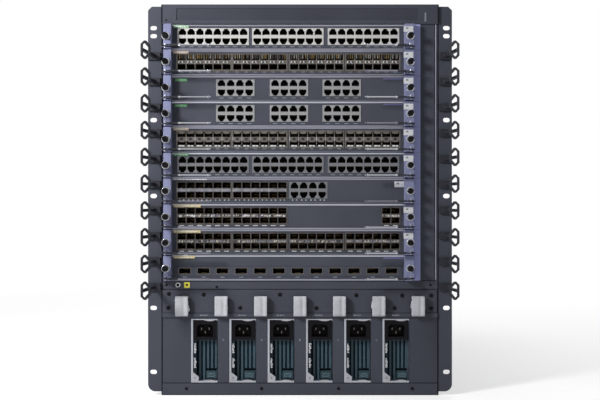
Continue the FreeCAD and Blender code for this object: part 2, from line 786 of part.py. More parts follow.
def fan_tray(index):
    z = fan_tray_z(index)
    half_w, half_h = fan_tray_width / 2, fan_tray_height / 2
    xs = column_centres(0.0, fan_count, fan_pitch)
    plate = box(-half_w, half_w, back, back + 2, z - half_h, z + half_h)
    plate = plate.cut(Part.makeCompound([guard_cuts(x, z) for x in xs]))
    inset = tray_side_inset
    sides = []
    for s in (-1, 1):
        x = s * (half_w - inset)
        sides.append(box(min(x, x - s * sheet), max(x, x - s * sheet), back - fan_tray_depth, back,
                         z - half_h + 12, z + half_h - 12))
    foot = z - fan_size / 2
    floor = box(-half_w + inset, half_w - inset, back - fan_tray_depth, back, foot - sheet, foot)
    grip_z = z + half_h - grip_drop
    outer, hollow = handle_width / 2, handle_width / 2 - handle_bar
    reach, bend = back + handle_reach, 8.0
    grip = prism_z([(-outer, back + 2), (-outer, reach - bend), (bend - outer, reach), (outer - bend, reach),
                    (outer, reach - bend), (outer, back + 2), (hollow, back + 2), (hollow, reach - bend - 1),
                    (outer - bend - 1, reach - handle_bar), (bend + 1 - outer, reach - handle_bar),
                    (-hollow, reach - bend - 1), (-hollow, back + 2)], grip_z - handle_bar, grip_z + handle_bar)
    body = fused([plate, *sides, floor, grip])
    return [body, *[fan_housing(x, z) for x in xs], *[fan_rotor(x, z) for x in xs]]


# ================================================================ writing the pieces
def build():
    os.makedirs("parts", exist_ok=True)
    write("chassis_tub", [chassis_tub()])
    write("top_cover", [top_cover()])
    write("inner_cage", [inner_cage()])
    write("front_frame", [front_frame()])
    write("rear_panel", [rear_panel()])
    write("midplane_board", midplane_board())
    write("card_guides", card_guides())
    ear = rack_ear()
    write("rack_ear_right", [ear])
    write("rack_ear_left", [mirrored(ear)])
    write("cable_rings", cable_rings())
    write("top_bezel", [top_bezel()])
    write("slot_label_strip", [slot_label_strip()])
    write("power_header_panel", [power_header_panel()])
    write("foot_strip", [foot_strip()])
    write("cord_straps", cord_straps())
    write("esd_socket", [esd_socket()])
    left = lever()
    right = mirrored(left, (card_left + card_right) / 2)
    for i in range(card_count):
        write(f"card_{i + 1:02d}", card(i))
        write(f"lever_left_{i + 1:02d}", [moved(left, z=card_z(i))])
        write(f"lever_right_{i + 1:02d}", [moved(right, z=card_z(i))])
    supply, latch = power_supply(), psu_latch()
    for i in range(psu_count):
        write(f"psu_{i + 1}", [moved(piece, x=psu_x(i), z=psu_low) for piece in supply])
        write(f"psu_latch_{i + 1}", [moved(latch, x=psu_x(i), z=psu_low)])
    for i in range(fan_tray_count):
        write(f"fan_tray_{i + 1}", fan_tray(i))


build()
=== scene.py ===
import math
import random

import bmesh
import bpy
from mathutils import Matrix, Vector


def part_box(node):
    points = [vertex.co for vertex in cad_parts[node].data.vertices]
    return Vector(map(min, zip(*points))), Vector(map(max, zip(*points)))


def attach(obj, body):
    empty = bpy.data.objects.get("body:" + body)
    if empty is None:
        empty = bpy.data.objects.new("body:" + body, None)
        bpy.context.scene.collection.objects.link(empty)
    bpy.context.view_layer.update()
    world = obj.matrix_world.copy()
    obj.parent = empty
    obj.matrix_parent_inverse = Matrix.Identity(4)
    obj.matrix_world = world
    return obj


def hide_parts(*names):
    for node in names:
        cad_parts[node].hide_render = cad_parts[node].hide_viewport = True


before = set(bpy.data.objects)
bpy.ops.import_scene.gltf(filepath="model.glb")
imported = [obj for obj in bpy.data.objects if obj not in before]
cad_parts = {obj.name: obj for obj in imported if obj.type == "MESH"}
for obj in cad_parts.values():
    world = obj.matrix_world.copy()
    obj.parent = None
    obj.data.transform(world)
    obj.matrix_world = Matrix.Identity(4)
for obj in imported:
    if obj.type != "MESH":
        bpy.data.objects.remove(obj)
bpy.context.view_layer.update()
mm = 0.001
print("frame loaded")


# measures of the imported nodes, in millimetres
def nodeBox(node):
    low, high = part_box(node)
    return [c / mm for c in low] + [c / mm for c in high]      # x0, y0, z0, x1, y1, z1


cardNames = sorted(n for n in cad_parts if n.startswith("card_") and n != "card_guides")
supplyNames = sorted(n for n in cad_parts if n.startswith("psu_") and "latch" not in n)
trayNames = sorted(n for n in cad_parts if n.startswith("fan_tray_"))
frontY = nodeBox("rack_ear_left")[1]
backY = nodeBox("chassis_tub")[4]
sideX = nodeBox("chassis_tub")[3]
topZ = nodeBox("top_cover")[5]
cardLeft, cardRight = nodeBox("card_01")[0], nodeBox("card_01")[3]
cardLow = [nodeBox(n)[2] for n in cardNames]
cardHeight = nodeBox("card_01")[5] - nodeBox("card_01")[2]


def linear(colour):
    def one(c):
        c /= 255
        return c / 12.92 if c <= 0.04045 else ((c + 0.055) / 1.055) ** 2.4
    return tuple(one(c) for c in colour)


def flat(colour):
    return (*linear(colour), 1)


class Nodes:
    # the shader nodes of one material or world, with short ways to add and join them
    def __init__(self, owner):
        owner.use_nodes = True
        self.tree = owner.node_tree
        self.tree.nodes.clear()

    def add(self, kind, settings=None, **inputs):
        node = self.tree.nodes.new("ShaderNode" + kind)
        for key, value in (settings or {}).items():
            setattr(node, key, value)
        for key, value in inputs.items():
            numbered = key[0] == "i" and key[1:].isdigit()
            socket = node.inputs[int(key[1:])] if numbered else node.inputs[key.replace("_", " ")]
            if isinstance(value, bpy.types.NodeSocket):
                self.tree.links.new(value, socket)
            else:
                socket.default_value = value
        return node

    def place(self):
        return self.add("TexCoord").outputs["Object"]

    def combine(self, operation, a, b):
        return self.add("Math", {"operation": operation}, i0=a, i1=b).outputs["Value"]

    def fit(self, value, ends, result):
        # value from between the two ends to between the two results
        return self.add("MapRange", Value=value, From_Min=ends[0], From_Max=ends[1],
                        To_Min=result[0], To_Max=result[1]).outputs["Result"]

    def noise(self, place, scale, detail):
        return self.add("TexNoise", Vector=place, Scale=float(scale), Detail=detail).outputs["Fac"]

    def wave(self, place, across, scale, distortion, **more):
        return self.add("TexWave", {"bands_direction": across}, Vector=place, Scale=scale,
                        Distortion=distortion, **more).outputs["Fac"]

    def mix(self, factor, a, b):
        return self.add("Mix", {"data_type": "RGBA"}, Factor=factor, i6=a, i7=b).outputs[2]

    def times(self, colour, factor):
        return self.add("VectorMath", {"operation": "SCALE"}, i0=colour, Scale=factor).outputs["Vector"]

    def bump(self, height, depth, strength):
        return self.add("Bump", Height=height, Distance=depth * mm, Strength=strength).outputs["Normal"]

    def shown(self):
        # 1 for what the camera, gloss and glass see
        path = self.add("LightPath").outputs
        seen = self.combine("MAXIMUM", path["Is Camera Ray"], path["Is Glossy Ray"])
        return self.combine("MAXIMUM", seen, path["Is Transmission Ray"])

    def finish(self, **inputs):
        shader = self.add("BsdfPrincipled", **inputs)
        self.add("OutputMaterial", Surface=shader.outputs["BSDF"])


# colour, metal, shine, roughness, size of patches, how far they vary, fine grain, depth of bump;
# then what only some have: streak stretches the patches, wear rubs the edges
finishRows = {
    "chassisPaint": ((74, 77, 87), 0.0, 0.12, 0.58, 9, 0.10, 950, 0.05, dict(wear=0.35)),
    "panelPaint": ((76, 79, 89), 0.0, 0.12, 0.5, 16, 0.08, 1200, 0.03, dict(wear=0.3)),
    "fieldPaint": ((66, 68, 78), 0.0, 0.12, 0.46, 9, 0.10, 950, 0.05),
    "frameSteel": ((150, 153, 160), 0.9, 0.3, 0.38, 30, 0.12, 420, 0.02, dict(streak=(1, 1, 14))),
    "ledgeSteel": ((145, 146, 159), 0.75, 0.3, 0.34, 22, 0.10, 500, 0.02, dict(streak=(0.06, 1, 1))),
    # the two lip finishes below are darker and lighter copies of ledgeSteel: painted shade and painted light on the
    # lips of some cards
    "lipPaintedShade": ((98, 100, 110), 0.5, 0.3, 0.38, 22, 0.10, 500, 0.02, dict(streak=(0.06, 1, 1))),
    "lipPaintedLight": ((178, 180, 192), 0.7, 0.3, 0.34, 22, 0.10, 500, 0.02, dict(streak=(0.06, 1, 1))),
    "brightSteel": ((206, 207, 211), 1.0, 0.3, 0.24, 60, 0.06, 900, 0.01),
    "leverSteel": ((172, 174, 180), 1.0, 0.3, 0.28, 40, 0.08, 700, 0.015, dict(streak=(0.05, 1, 1))),
    # the next finish is a darker copy of leverSteel: painted shade on the levers of some cards
    "leverPaintedShade": ((130, 130, 142), 0.6, 0.3, 0.4, 40, 0.25, 700, 0.02, dict(streak=(0.05, 1, 1))),
    # the next finish darkens the lever's root and the sleeve over it; the dark stands partly for the shade of the slot
    # the root sits in
    "leverDark": ((44, 45, 52), 0.3, 0.3, 0.45, 80, 0.12, 1400, 0.02),
    "bluePlastic": ((134, 138, 171), 0.0, 0.2, 0.44, 35, 0.05, 1500, 0.02),
    # the next finish is lavender lightened past the strip's own colour: painted light against the shadow the end blocks
    # cast on the strip
    "stripBluePaintedLight": ((176, 181, 232), 0.0, 0.2, 0.44, 35, 0.05, 1500, 0.02),
    "knobBlack": ((16, 16, 20), 0.0, 0.12, 0.45, 80, 0.15, 2200, 0.02),
    # the next finish is near-black for dark strips that stand for shade: painted shadow at the left edge of each card,
    # at the side edges and seams of the front
    "shadeBlack": ((24, 25, 33), 0.0, 0.1, 0.7, 80, 0.15, 1800, 0.03),
    "shellWhite": ((204, 202, 199), 0.0, 0.3, 0.42, 50, 0.05, 1600, 0.015),
    "shellSmoke": ((116, 117, 121), 0.35, 0.3, 0.4, 50, 0.12, 1400, 0.015),
    "shellGrey": ((150, 150, 152), 0.35, 0.3, 0.4, 50, 0.07, 1400, 0.015),
    "cageSteel": ((176, 172, 162), 0.7, 0.3, 0.34, 70, 0.14, 900, 0.02),
    "cageBrass": ((148, 124, 82), 0.8, 0.3, 0.4, 110, 0.3, 900, 0.02),
    "cageBand": ((128, 128, 136), 0.4, 0.3, 0.42, 160, 0.3, 900, 0.02),
    "cageDark": ((84, 81, 79), 0.5, 0.3, 0.42, 110, 0.25, 900, 0.02),
    "cageDim": ((102, 98, 94), 0.6, 0.3, 0.4, 110, 0.2, 900, 0.02),
    # the next finish is near-black: painted shade on the walls and floors of pockets, bores, screw recesses, knob slots
    # and the bezel's field and hole; also the colour of black parts: host connectors, the dot on the earth label and
    # the middle of the fan hubs
    "blackPartsAndShade": ((18, 17, 19), 0.0, 0.1, 0.6, 90, 0.2, 1500, 0.02),
    # the next finish is gold darkened far below its own colour: painted shade on the contacts deep in the ports
    "contactGoldShaded": ((92, 72, 44), 0.9, 0.3, 0.35, 90, 0.12, 1500, 0.01),
    "labelGreen": ((153, 190, 156), 0.0, 0.3, 0.5, 120, 0.05, 2400, 0.01),
    "labelDeep": ((98, 166, 112), 0.0, 0.3, 0.5, 120, 0.05, 2400, 0.01),
    "labelPeach": ((218, 198, 176), 0.0, 0.3, 0.5, 120, 0.05, 2400, 0.01),
    "labelTan": ((204, 188, 140), 0.0, 0.3, 0.5, 120, 0.05, 2400, 0.01),
    "labelYellow": ((214, 206, 78), 0.0, 0.3, 0.5, 120, 0.06, 2400, 0.01),
    "markWhite": ((222, 224, 228), 0.0, 0.3, 0.5, 120, 0.04, 2400, 0.01),
    "markDim": ((136, 139, 147), 0.0, 0.3, 0.5, 120, 0.06, 2400, 0.01),
    "markBlue": ((112, 112, 158), 0.0, 0.3, 0.5, 120, 0.06, 2400, 0.01),
    "chipBlack": ((34, 35, 38), 0.0, 0.3, 0.5, 70, 0.12, 1800, 0.02),
    "sinkAluminium": ((190, 192, 196), 1.0, 0.3, 0.36, 40, 0.07, 700, 0.02, dict(streak=(1, 0.05, 1))),
    "connectorTan": ((196, 186, 160), 0.0, 0.3, 0.5, 60, 0.06, 1500, 0.02),
    "supplySteel": ((168, 172, 180), 0.7, 0.3, 0.36, 26, 0.10, 600, 0.02),
    "supplyTeal": ((60, 82, 94), 0.0, 0.2, 0.42, 60, 0.08, 1500, 0.02),
    "supplyLight": ((104, 132, 142), 0.0, 0.3, 0.45, 60, 0.1, 1500, 0.02),
    "supplyDark": ((16, 28, 36), 0.0, 0.15, 0.55, 60, 0.15, 1500, 0.02),
    "latchTeal": ((44, 63, 71), 0.0, 0.3, 0.5, 60, 0.12, 1500, 0.02),
    "bracketSteel": ((166, 167, 174), 0.6, 0.3, 0.4, 60, 0.15, 900, 0.01),
    "inletBlack": ((14, 12, 16), 0.0, 0.1, 0.5, 60, 0.2, 1600, 0.02),
    "bladeDull": ((88, 80, 76), 0.8, 0.3, 0.45, 60, 0.2, 1600, 0.02),
    "ringPlastic": ((44, 45, 52), 0.0, 0.2, 0.48, 40, 0.08, 1500, 0.03),
    "guidePlastic": ((58, 60, 64), 0.0, 0.3, 0.5, 40, 0.08, 1500, 0.02),
    "fanPlastic": ((30, 31, 33), 0.0, 0.3, 0.5, 40, 0.10, 1500, 0.02),
}
surface = dict(patchDetail=4.0, grainDetail=2.0, patchEnds=(0.3, 0.7), grainEnds=(0.35, 0.65), grainTone=(0.94, 1.06),
               smoother=0.06, rougher=0.07, strength=0.8, edge=0.0008, edgeEnds=(0.995, 0.90), edgeGrain=160,
               edgeDetail=3.0, rubbed=(2.6, 0.03))


def makeFinish(name, colour, metal, shine, rough, patch, spread, grain, bump, more=None):
    more = more or {}
    material = bpy.data.materials.new(name)
    n = Nodes(material)
    place = n.place()
    if "streak" in more:
        place = n.add("Mapping", Vector=place, Scale=more["streak"]).outputs["Vector"]
    patches = n.noise(place, patch, surface["patchDetail"])
    fine = n.noise(place, grain, surface["grainDetail"])
    base = linear(colour)
    darker = (*[c * (1 - spread) for c in base], 1)
    lighter = (*[min(1, c * (1 + spread)) for c in base], 1)
    shade = n.mix(n.fit(patches, surface["patchEnds"], (0.0, 1.0)), darker, lighter)
    shade = n.times(shade, n.fit(fine, surface["grainEnds"], surface["grainTone"]))
    roughness = n.fit(patches, surface["patchEnds"], (rough - surface["smoother"], rough + surface["rougher"]))
    if "wear" in more:
        # paint rubbed thin along the edges
        rounded = n.add("Bevel", {"samples": 4}, Radius=surface["edge"]).outputs["Normal"]
        plain = n.add("NewGeometry").outputs["Normal"]
        turn = n.add("VectorMath", {"operation": "DOT_PRODUCT"}, i0=rounded, i1=plain).outputs["Value"]
        edge = n.fit(turn, surface["edgeEnds"], (0.0, more["wear"]))
        edge = n.combine("MULTIPLY", edge, n.noise(place, surface["edgeGrain"], surface["edgeDetail"]))
        times, plus = surface["rubbed"]
        shade = n.mix(edge, shade, (*[min(1, c * times + plus) for c in base], 1))
    n.finish(Base_Color=shade, Roughness=roughness, Normal=n.bump(fine, bump, surface["strength"]), Metallic=metal,
             Specular_IOR_Level=shine)
    return material


def webbingFinish():
    # woven strap: ribs across, fine yarns along, a little fuzz and soil
    look = dict(colour=(226, 229, 236), rib=1100 / 6.28, yarn=2100 / 6.28, loose=(0.6, 0.4), groove=0.72, depth=0.16,
                strength=0.9, soil=60, soilDetail=5.0, soilEnds=(0.35, 0.7), soilTone=(1.0, 0.86), rough=0.85,
                fuzz=0.25)
    material = bpy.data.materials.new("webbing")
    n = Nodes(material)
    place = n.place()
    ribs = n.wave(place, "Z", look["rib"], look["loose"][0])
    yarns = n.wave(place, "X", look["yarn"], look["loose"][1])
    weave = n.combine("MULTIPLY", ribs, yarns)
    soil = n.noise(place, look["soil"], look["soilDetail"])
    base = linear(look["colour"])
    shade = n.mix(weave, (*[c * look["groove"] for c in base], 1), (*base, 1))
    shade = n.times(shade, n.fit(soil, look["soilEnds"], look["soilTone"]))
    n.finish(Base_Color=shade, Roughness=look["rough"], Normal=n.bump(weave, look["depth"], look["strength"]),
             Sheen_Weight=look["fuzz"])
    return material


def boardFinish():
    # solder mask over copper tracks, with small pads
    look = dict(mask=(24, 66, 44), track=(34, 92, 60), pad=(180, 160, 96), tracks=95.0, bends=3.0, areas=34.0,
                pads=210.0, trackEnds=(0.55, 0.62), areaEnds=(0.4, 0.46), padEnds=(0.13, 0.16), depth=0.04,
                strength=0.8, rough=0.32)
    material = bpy.data.materials.new("circuitBoard")
    n = Nodes(material)
    place = n.place()
    along = n.wave(place, "X", look["tracks"], look["bends"], Detail=1.0)
    area = n.add("TexVoronoi", Vector=place, Scale=look["areas"]).outputs["Distance"]
    tracks = n.combine("MULTIPLY", n.fit(along, look["trackEnds"], (0.0, 1.0)),
                       n.fit(area, look["areaEnds"], (1.0, 0.0)))
    dots = n.add("TexVoronoi", Vector=place, Scale=look["pads"]).outputs["Distance"]
    shade = n.mix(tracks, flat(look["mask"]), flat(look["track"]))
    shade = n.mix(n.fit(dots, look["padEnds"], (1.0, 0.0)), shade, flat(look["pad"]))
    n.finish(Base_Color=shade, Roughness=look["rough"], Normal=n.bump(tracks, look["depth"], look["strength"]))
    return material


finish = {name: makeFinish(name, *row) for name, row in finishRows.items()}
finish["webbing"] = webbingFinish()
finish["circuitBoard"] = boardFinish()
print("finishes made:", len(finish))


# shapes, drawn in millimetres
def addBox(bm, x0, y0, z0, x1, y1, z1, mat=0, place=None):
    corners = [Vector((x, y, z)) for z in (z0, z1) for y in (y0, y1) for x in (x0, x1)]
    verts = [bm.verts.new(place @ c if place else c) for c in corners]
    for quad in ((0, 2, 3, 1), (4, 5, 7, 6), (0, 1, 5, 4), (2, 6, 7, 3), (0, 4, 6, 2), (1, 3, 7, 5)):
        bm.faces.new([verts[i] for i in quad]).material_index = mat


def bridge(bm, a, b, mat=0, sides=None):
    # faces between two loops with equal counts; sides gives a material to each face
    for i in range(len(a)):
        j = (i + 1) % len(a)
        bm.faces.new((a[i], a[j], b[j], b[i])).material_index = sides[i] if sides else mat


def addLoops(bm, loops, mat=0, sides=None):
    # skin over a row of loops, closed at both ends
    rings = [[bm.verts.new(p) for p in loop] for loop in loops]
    for a, b in zip(rings, rings[1:]):
        bridge(bm, a, b, mat, sides)
    bm.faces.new(list(reversed(rings[0]))).material_index = mat
    bm.faces.new(rings[-1]).material_index = mat


def addPrism(bm, outline, axis, a, b, mat=0, sides=None):
    # outline is (y, z) for axis x, (x, z) for y, (x, y) for z
    spot = {"x": lambda p, d: (d, *p), "y": lambda p, d: (p[0], d, p[1]), "z": lambda p, d: (*p, d)}[axis]
    addLoops(bm, [[spot(p, a) for p in outline], [spot(p, b) for p in outline]], mat, sides)


def circle(x, z, radius, count):
    turns = [2 * math.pi * i / count for i in range(count)]
    return [(x + radius * math.cos(t), z + radius * math.sin(t)) for t in turns]


def rect(x0, z0, x1, z1, corner=0.0):
    if not corner:
        return [(x0, z0), (x1, z0), (x1, z1), (x0, z1)]
    c = corner * 0.3
    return [(x0 + corner, z0), (x1 - corner, z0), (x1 - c, z0 + c), (x1, z0 + corner), (x1, z1 - corner),
            (x1 - c, z1 - c), (x1 - corner, z1), (x0 + corner, z1), (x0 + c, z1 - c), (x0, z1 - corner),
            (x0, z0 + corner), (x0 + c, z0 + c)]


def outset(outline, amount):
    # the outline moved outwards by that amount at each corner
    area = sum(a[0] * b[1] - b[0] * a[1] for a, b in zip(outline, outline[1:] + outline[:1]))
    sign = 1 if area > 0 else -1
    moved = []
    for i, p in enumerate(outline):
        before, after = outline[i - 1], outline[(i + 1) % len(outline)]
        d1 = Vector((p[0] - before[0], p[1] - before[1])).normalized()
        d2 = Vector((after[0] - p[0], after[1] - p[1])).normalized()
        n1, n2 = Vector((d1.y, -d1.x)) * sign, Vector((d2.y, -d2.x)) * sign
        both = n1 + n2
        push = amount / max(0.2, both.dot(n1))
        moved.append((p[0] + both.x * push, p[1] + both.y * push))
    return moved


def cover(bm, loops, mat):
    # flat face over an outline and its holes
    edges = []
    for points in loops:
        for pair in zip(points, points[1:] + points[:1]):
            edges.append(bm.edges.get(pair) or bm.edges.new(pair))
    made = bmesh.ops.triangle_fill(bm, use_beauty=True, edges=edges, normal=(0, -1, 0))
    for f in made["geom"]:
        if isinstance(f, bmesh.types.BMFace):
            f.material_index = mat


def addPanel(bm, outline, holes, near, far, pocket=None, rim=0.25, mat=0, inside=None, floor=None):
    # plate across Y with holes, or with pockets that end at pocket; each hole has a small chamfer of rim
    inside = mat if inside is None else inside
    floor = inside if floor is None else floor
    step = math.copysign(rim, far - near)

    def loop(points, y):
        return [bm.verts.new((x, y, z)) for x, z in points]

    nearLoops, farLoops = [loop(outline, near)], [loop(outline, far)]
    bridge(bm, nearLoops[0], farLoops[0], mat)
    for hole in holes:
        mouth, throat = loop(outset(hole, rim), near), loop(hole, near + step)
        bridge(bm, mouth, throat, mat)
        nearLoops.append(mouth)
        end = loop(hole, far if pocket is None else pocket)
        bridge(bm, throat, end, inside)
        if pocket is None:
            farLoops.append(end)
        else:
            bm.faces.new(end).material_index = floor
    cover(bm, nearLoops, mat)
    cover(bm, farLoops, mat)


def addTurned(bm, profile, x, z, sides=24, mat=0, flutes=0.0, place=None):
    # round piece along Y; profile is (radius, y) or (radius, y, material); flutes pull in every other point
    rings = []
    for row in profile:
        radius, y = row[:2]
        points = [(x, y, z)]
        if radius > 0:
            pull = flutes if len(row) > 3 else 0
            points = [(x + (radius - (pull if i % 2 else 0)) * math.cos(2 * math.pi * i / sides), y,
                       z + (radius - (pull if i % 2 else 0)) * math.sin(2 * math.pi * i / sides)) for i in range(sides)]
        rings.append([bm.verts.new(place @ Vector(p) if place else p) for p in points])
    for a, b, row in zip(rings, rings[1:], profile[1:]):
        m = row[2] if len(row) > 2 else mat
        for i in range(sides):
            j = (i + 1) % sides
            if len(a) == 1:
                corners = (a[0], b[j], b[i])
            elif len(b) == 1:
                corners = (a[i], a[j], b[0])
            else:
                corners = (a[i], a[j], b[j], b[i])
            bm.faces.new(corners).material_index = m


def addScrew(bm, x, y, z, radius, out=-1, mat=0, dark=1):
    # pan head with a cross recess drawn as dark bars and a dark middle, painted shade; out is the side of Y that it
    # faces
    head = radius * 0.42
    profile = [(0, y), (radius, y), (radius, y + out * head * 0.45), (radius * 0.8, y + out * head * 0.85),
               (radius * 0.42, y + out * head), (radius * 0.3, y + out * head * 0.7, dark),
               (0, y + out * head * 0.6, dark)]
    addTurned(bm, profile, x, z, 14, mat)
    for w, h in ((0.62, 0.16), (0.16, 0.62)):
        addBox(bm, x - radius * w, y + out * head * 0.7, z - radius * h,
               x + radius * w, y + out * (head + 0.03), z + radius * h, dark)


def addTube(bm, points, radius, sides, closed=False):
    # round bar that follows points
    rings = []
    count = len(points)
    points = [Vector(p) for p in points]
    lift = Vector((0.3, 0.2, 1)).normalized()
    for i, p in enumerate(points):
        before = points[i - 1] if i or closed else p
        after = points[(i + 1) % count] if i < count - 1 or closed else p
        run = (after - before).normalized()
        across = run.cross(lift).normalized()
        up = across.cross(run)
        rings.append([bm.verts.new(p + (across * math.cos(t) + up * math.sin(t)) * radius)
                      for t in (2 * math.pi * k / sides for k in range(sides))])
    for a, b in list(zip(rings, rings[1:])) + ([(rings[-1], rings[0])] if closed else []):
        bridge(bm, a, b)
    if not closed:
        bm.faces.new(list(reversed(rings[0])))
        bm.faces.new(rings[-1])


def upright(x, y, z):
    # turns a round piece from Y to Z
    return Matrix.Translation((x, y, z)) @ Matrix.Rotation(math.radians(90), 4, "X")


def toObject(name, bm):
    bm.transform(Matrix.Scale(mm, 4))
    mesh = bpy.data.meshes.new(name)
    bm.to_mesh(mesh)
    bm.free()
    piece = bpy.data.objects.new(name, mesh)
    bpy.context.scene.collection.objects.link(piece)
    return piece


def makePiece(name, bm, body, names, bevel=0.0, replaced=(), segments=2):
    bmesh.ops.recalc_face_normals(bm, faces=bm.faces)
    piece = toObject(name, bm)
    for material in names:
        piece.data.materials.append(finish[material])
    for face in piece.data.polygons:
        face.use_smooth = True
    piece.data.set_sharp_from_angle(angle=math.radians(32))
    if bevel:
        rounding = piece.modifiers.new("rounding", "BEVEL")
        rounding.width = bevel * mm
        rounding.segments = segments
        rounding.limit_method = "ANGLE"
        rounding.angle_limit = math.radians(35)
        rounding.harden_normals = True
        rounding.use_clamp_overlap = True
    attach(piece, body)
    if replaced:
        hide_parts(*replaced)
    return piece


def refine(node, name, slot, finishName, bevel):
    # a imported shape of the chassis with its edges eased
    bm = bmesh.new()
    bm.from_mesh(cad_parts[node].data)
    bmesh.ops.remove_doubles(bm, verts=bm.verts, dist=1e-6)
    bmesh.ops.dissolve_limit(bm, angle_limit=math.radians(1), verts=bm.verts, edges=bm.edges)
    bm.transform(Matrix.Scale(1 / mm, 4))
    return makePiece(name, bm, "chassis", [finishName], bevel, [node])


# camera, lamps, room and floor
view = dict(distance=1400, height=310, lens=52.9, sensor=36, near=0.05, far=60)
scene = bpy.context.scene
camera = bpy.data.objects.new("camera", bpy.data.cameras.new("camera"))
camera.data.lens = view["lens"]
camera.data.sensor_width = view["sensor"]
camera.data.clip_start = view["near"]
camera.data.clip_end = view["far"]
camera.location = (0, (frontY - view["distance"]) * mm, view["height"] * mm)
camera.rotation_euler = (math.radians(90), 0, 0)
scene.collection.objects.link(camera)
scene.camera = camera

lampsAim = Vector((0, 0, 0.3))
lamps = {
    "keyLamp": dict(at=(-0.82, -1.02, 0.80), power=12.5, size=0.24),
    "fillLamp": dict(at=(0.9, -2.2, 1.4), power=1.5, size=1.2),
    "topLamp": dict(at=(-0.2, 0.2, 2.3), power=14, size=1.4),
    "backLamp": dict(at=(0.8, 2.3, 1.3), power=22, size=1.6),
}
for name, lamp in lamps.items():
    light = bpy.data.lights.new(name, "AREA")
    light.energy, light.size = lamp["power"], lamp["size"]
    holder = bpy.data.objects.new(name, light)
    holder.location = lamp["at"]
    holder.rotation_euler = (lampsAim - holder.location).to_track_quat("-Z", "Y").to_euler()
    scene.collection.objects.link(holder)

ambient = 0.14                                                 # light of the room on the object
white = (1, 1, 1, 1)


def setWorld():
    world = bpy.data.worlds.new("room")
    scene.world = world
    n = Nodes(world)
    room = n.add("Background", Color=white, Strength=n.fit(n.shown(), (0.0, 1.0), (ambient, 1.0)))
    n.add("OutputWorld", Surface=room.outputs["Background"])


def makeFloor():
    # pale floor that keeps the shadow near the chassis and ends in plain white
    look = dict(size=12000.0, thick=20.0, colour=(232, 232, 232), lift=0.5, clear=(0.5, 1.6))
    bm = bmesh.new()
    half = look["size"] / 2
    addBox(bm, -half, -half, -look["thick"], half, half, 0)
    floor = toObject("floor", bm)
    material = bpy.data.materials.new("floorPale")
    n = Nodes(material)
    seen = n.shown()
    away = n.add("VectorMath", {"operation": "LENGTH"}, i0=n.place()).outputs["Value"]
    matte = n.add("BsdfDiffuse", Color=flat(look["colour"])).outputs["BSDF"]
    glow = n.add("Emission", Color=white, Strength=n.combine("MULTIPLY", seen, look["lift"])).outputs["Emission"]
    lifted = n.add("AddShader", i0=matte, i1=glow).outputs["Shader"]
    plain = n.add("Emission", Color=white, Strength=1.0).outputs["Emission"]
    far = n.combine("MULTIPLY", n.fit(away, look["clear"], (0.0, 1.0)), seen)
    n.add("OutputMaterial", Surface=n.add("MixShader", Fac=far, i1=lifted, i2=plain).outputs["Shader"])
    floor.data.materials.append(material)


setWorld()
makeFloor()
scene.view_settings.view_transform = "Standard"
print("camera, light and floor set")

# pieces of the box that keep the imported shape: name, slot, finish, eased edge
shell = {
    "chassis_tub": ("tub", "chassis_paint", "chassisPaint", 0.5),
    "top_cover": ("cover", "chassis_paint", "chassisPaint", 0.4),
    "inner_cage": ("cage", "bare_steel", "frameSteel", 0.3),
    "front_frame": ("frontFrame", "chassis_paint", "chassisPaint", 0.5),
    "rear_panel": ("rearPanel", "chassis_paint", "chassisPaint", 0.4),
    "card_guides": ("cardGuides", "guide_plastic", "guidePlastic", 0.2),
    "rack_ear_left": ("earLeft", "chassis_paint", "chassisPaint", 0.5),
    "rack_ear_right": ("earRight", "chassis_paint", "chassisPaint", 0.5),
    "foot_strip": ("footStrip", "panel_paint", "chassisPaint", 0.5),
    "power_header_panel": ("powerHeader", "panel_paint", "chassisPaint", 0.4),
    "midplane_board": ("midplane", "circuit_board", "circuitBoard", 0.2),
    "cable_rings": ("cableRings", "ring_plastic", "ringPlastic", 0.7),
}
for node, row in shell.items():
    refine(node, *row)


def makeBezel():
    # front of the top: a raised rim round a shallow field whose walls are near-black painted shade, a small hole drawn
    # as a near-black disc of painted shade, and a printed mark
    look = dict(left=-196.0, right=187.0, edge=6.0, corner=1.5, depth=1.0, floor=0.6, rim=0.3, hole=(-212, 595, 1.6),
                holeDepth=0.4, mark=(197.5, 593, 200.0, 607), proud=0.1, bevel=0.25)
    x0, y0, z0, x1, y1, z1 = nodeBox("top_bezel")
    field = rect(look["left"], z0 + look["edge"], look["right"], z1 - look["edge"], look["corner"])
    middle = y0 + look["depth"] + look["floor"]
    bm = bmesh.new()
    addPanel(bm, rect(x0, z0, x1, z1), [field], y0, middle, y0 + look["depth"], look["rim"], 0, 1, 3)
    addPanel(bm, rect(x0, z0, x1, z1), [], middle, y1)
    addPrism(bm, circle(*look["hole"], 12), "y", y0 - look["proud"] / 2, y0 + look["holeDepth"], 1)
    mx0, mz0, mx1, mz1 = look["mark"]
    addBox(bm, mx0, y0 - look["proud"], mz0, mx1, y0 + look["proud"] * 2, mz1, 2)
    makePiece("topBezel", bm, "chassis", ["chassisPaint", "blackPartsAndShade", "markDim", "fieldPaint"],
              look["bevel"], ["top_bezel"])


makeBezel()
print("chassis made")

# ports of the cards, measured from the lower edge of each card
jack = dict(width=11.7, height=9.5, keyWidth=6.0, keyInner=4.4, shoulder=4.9, rows=(9.0, 24.1), depth=14.0,
            low=8.2, high=34.6, pins=8, pinPitch=1.02, pinHalf=0.22, pinThick=0.3, pinNear=6.5, pinBase=1.0, pinTip=3.4)
cageSlot = dict(width=12.9, height=9.0, rows=(9.5, 24.6), depth=40.0, low=6.8, high=35.2)
wideSlot = dict(width=18.2, height=8.2, rows=(11.0,), depth=40.0, low=6.8, high=22.2)
kinds = {"jack": jack, "slot": cageSlot, "wide": wideSlot}
jackGroups = [("jack", x, 8, 13.85) for x in (79.7, 198.4, 318.5)]     # kind, middle, columns, pitch
wideJackGroups = [("jack", x, 4, 14.6) for x in (115.0, 200.1, 283.9)]
slotGroups = [("slot", x, 6, 14.25) for x in (65.4, 153.9, 244.0, 333.3)]
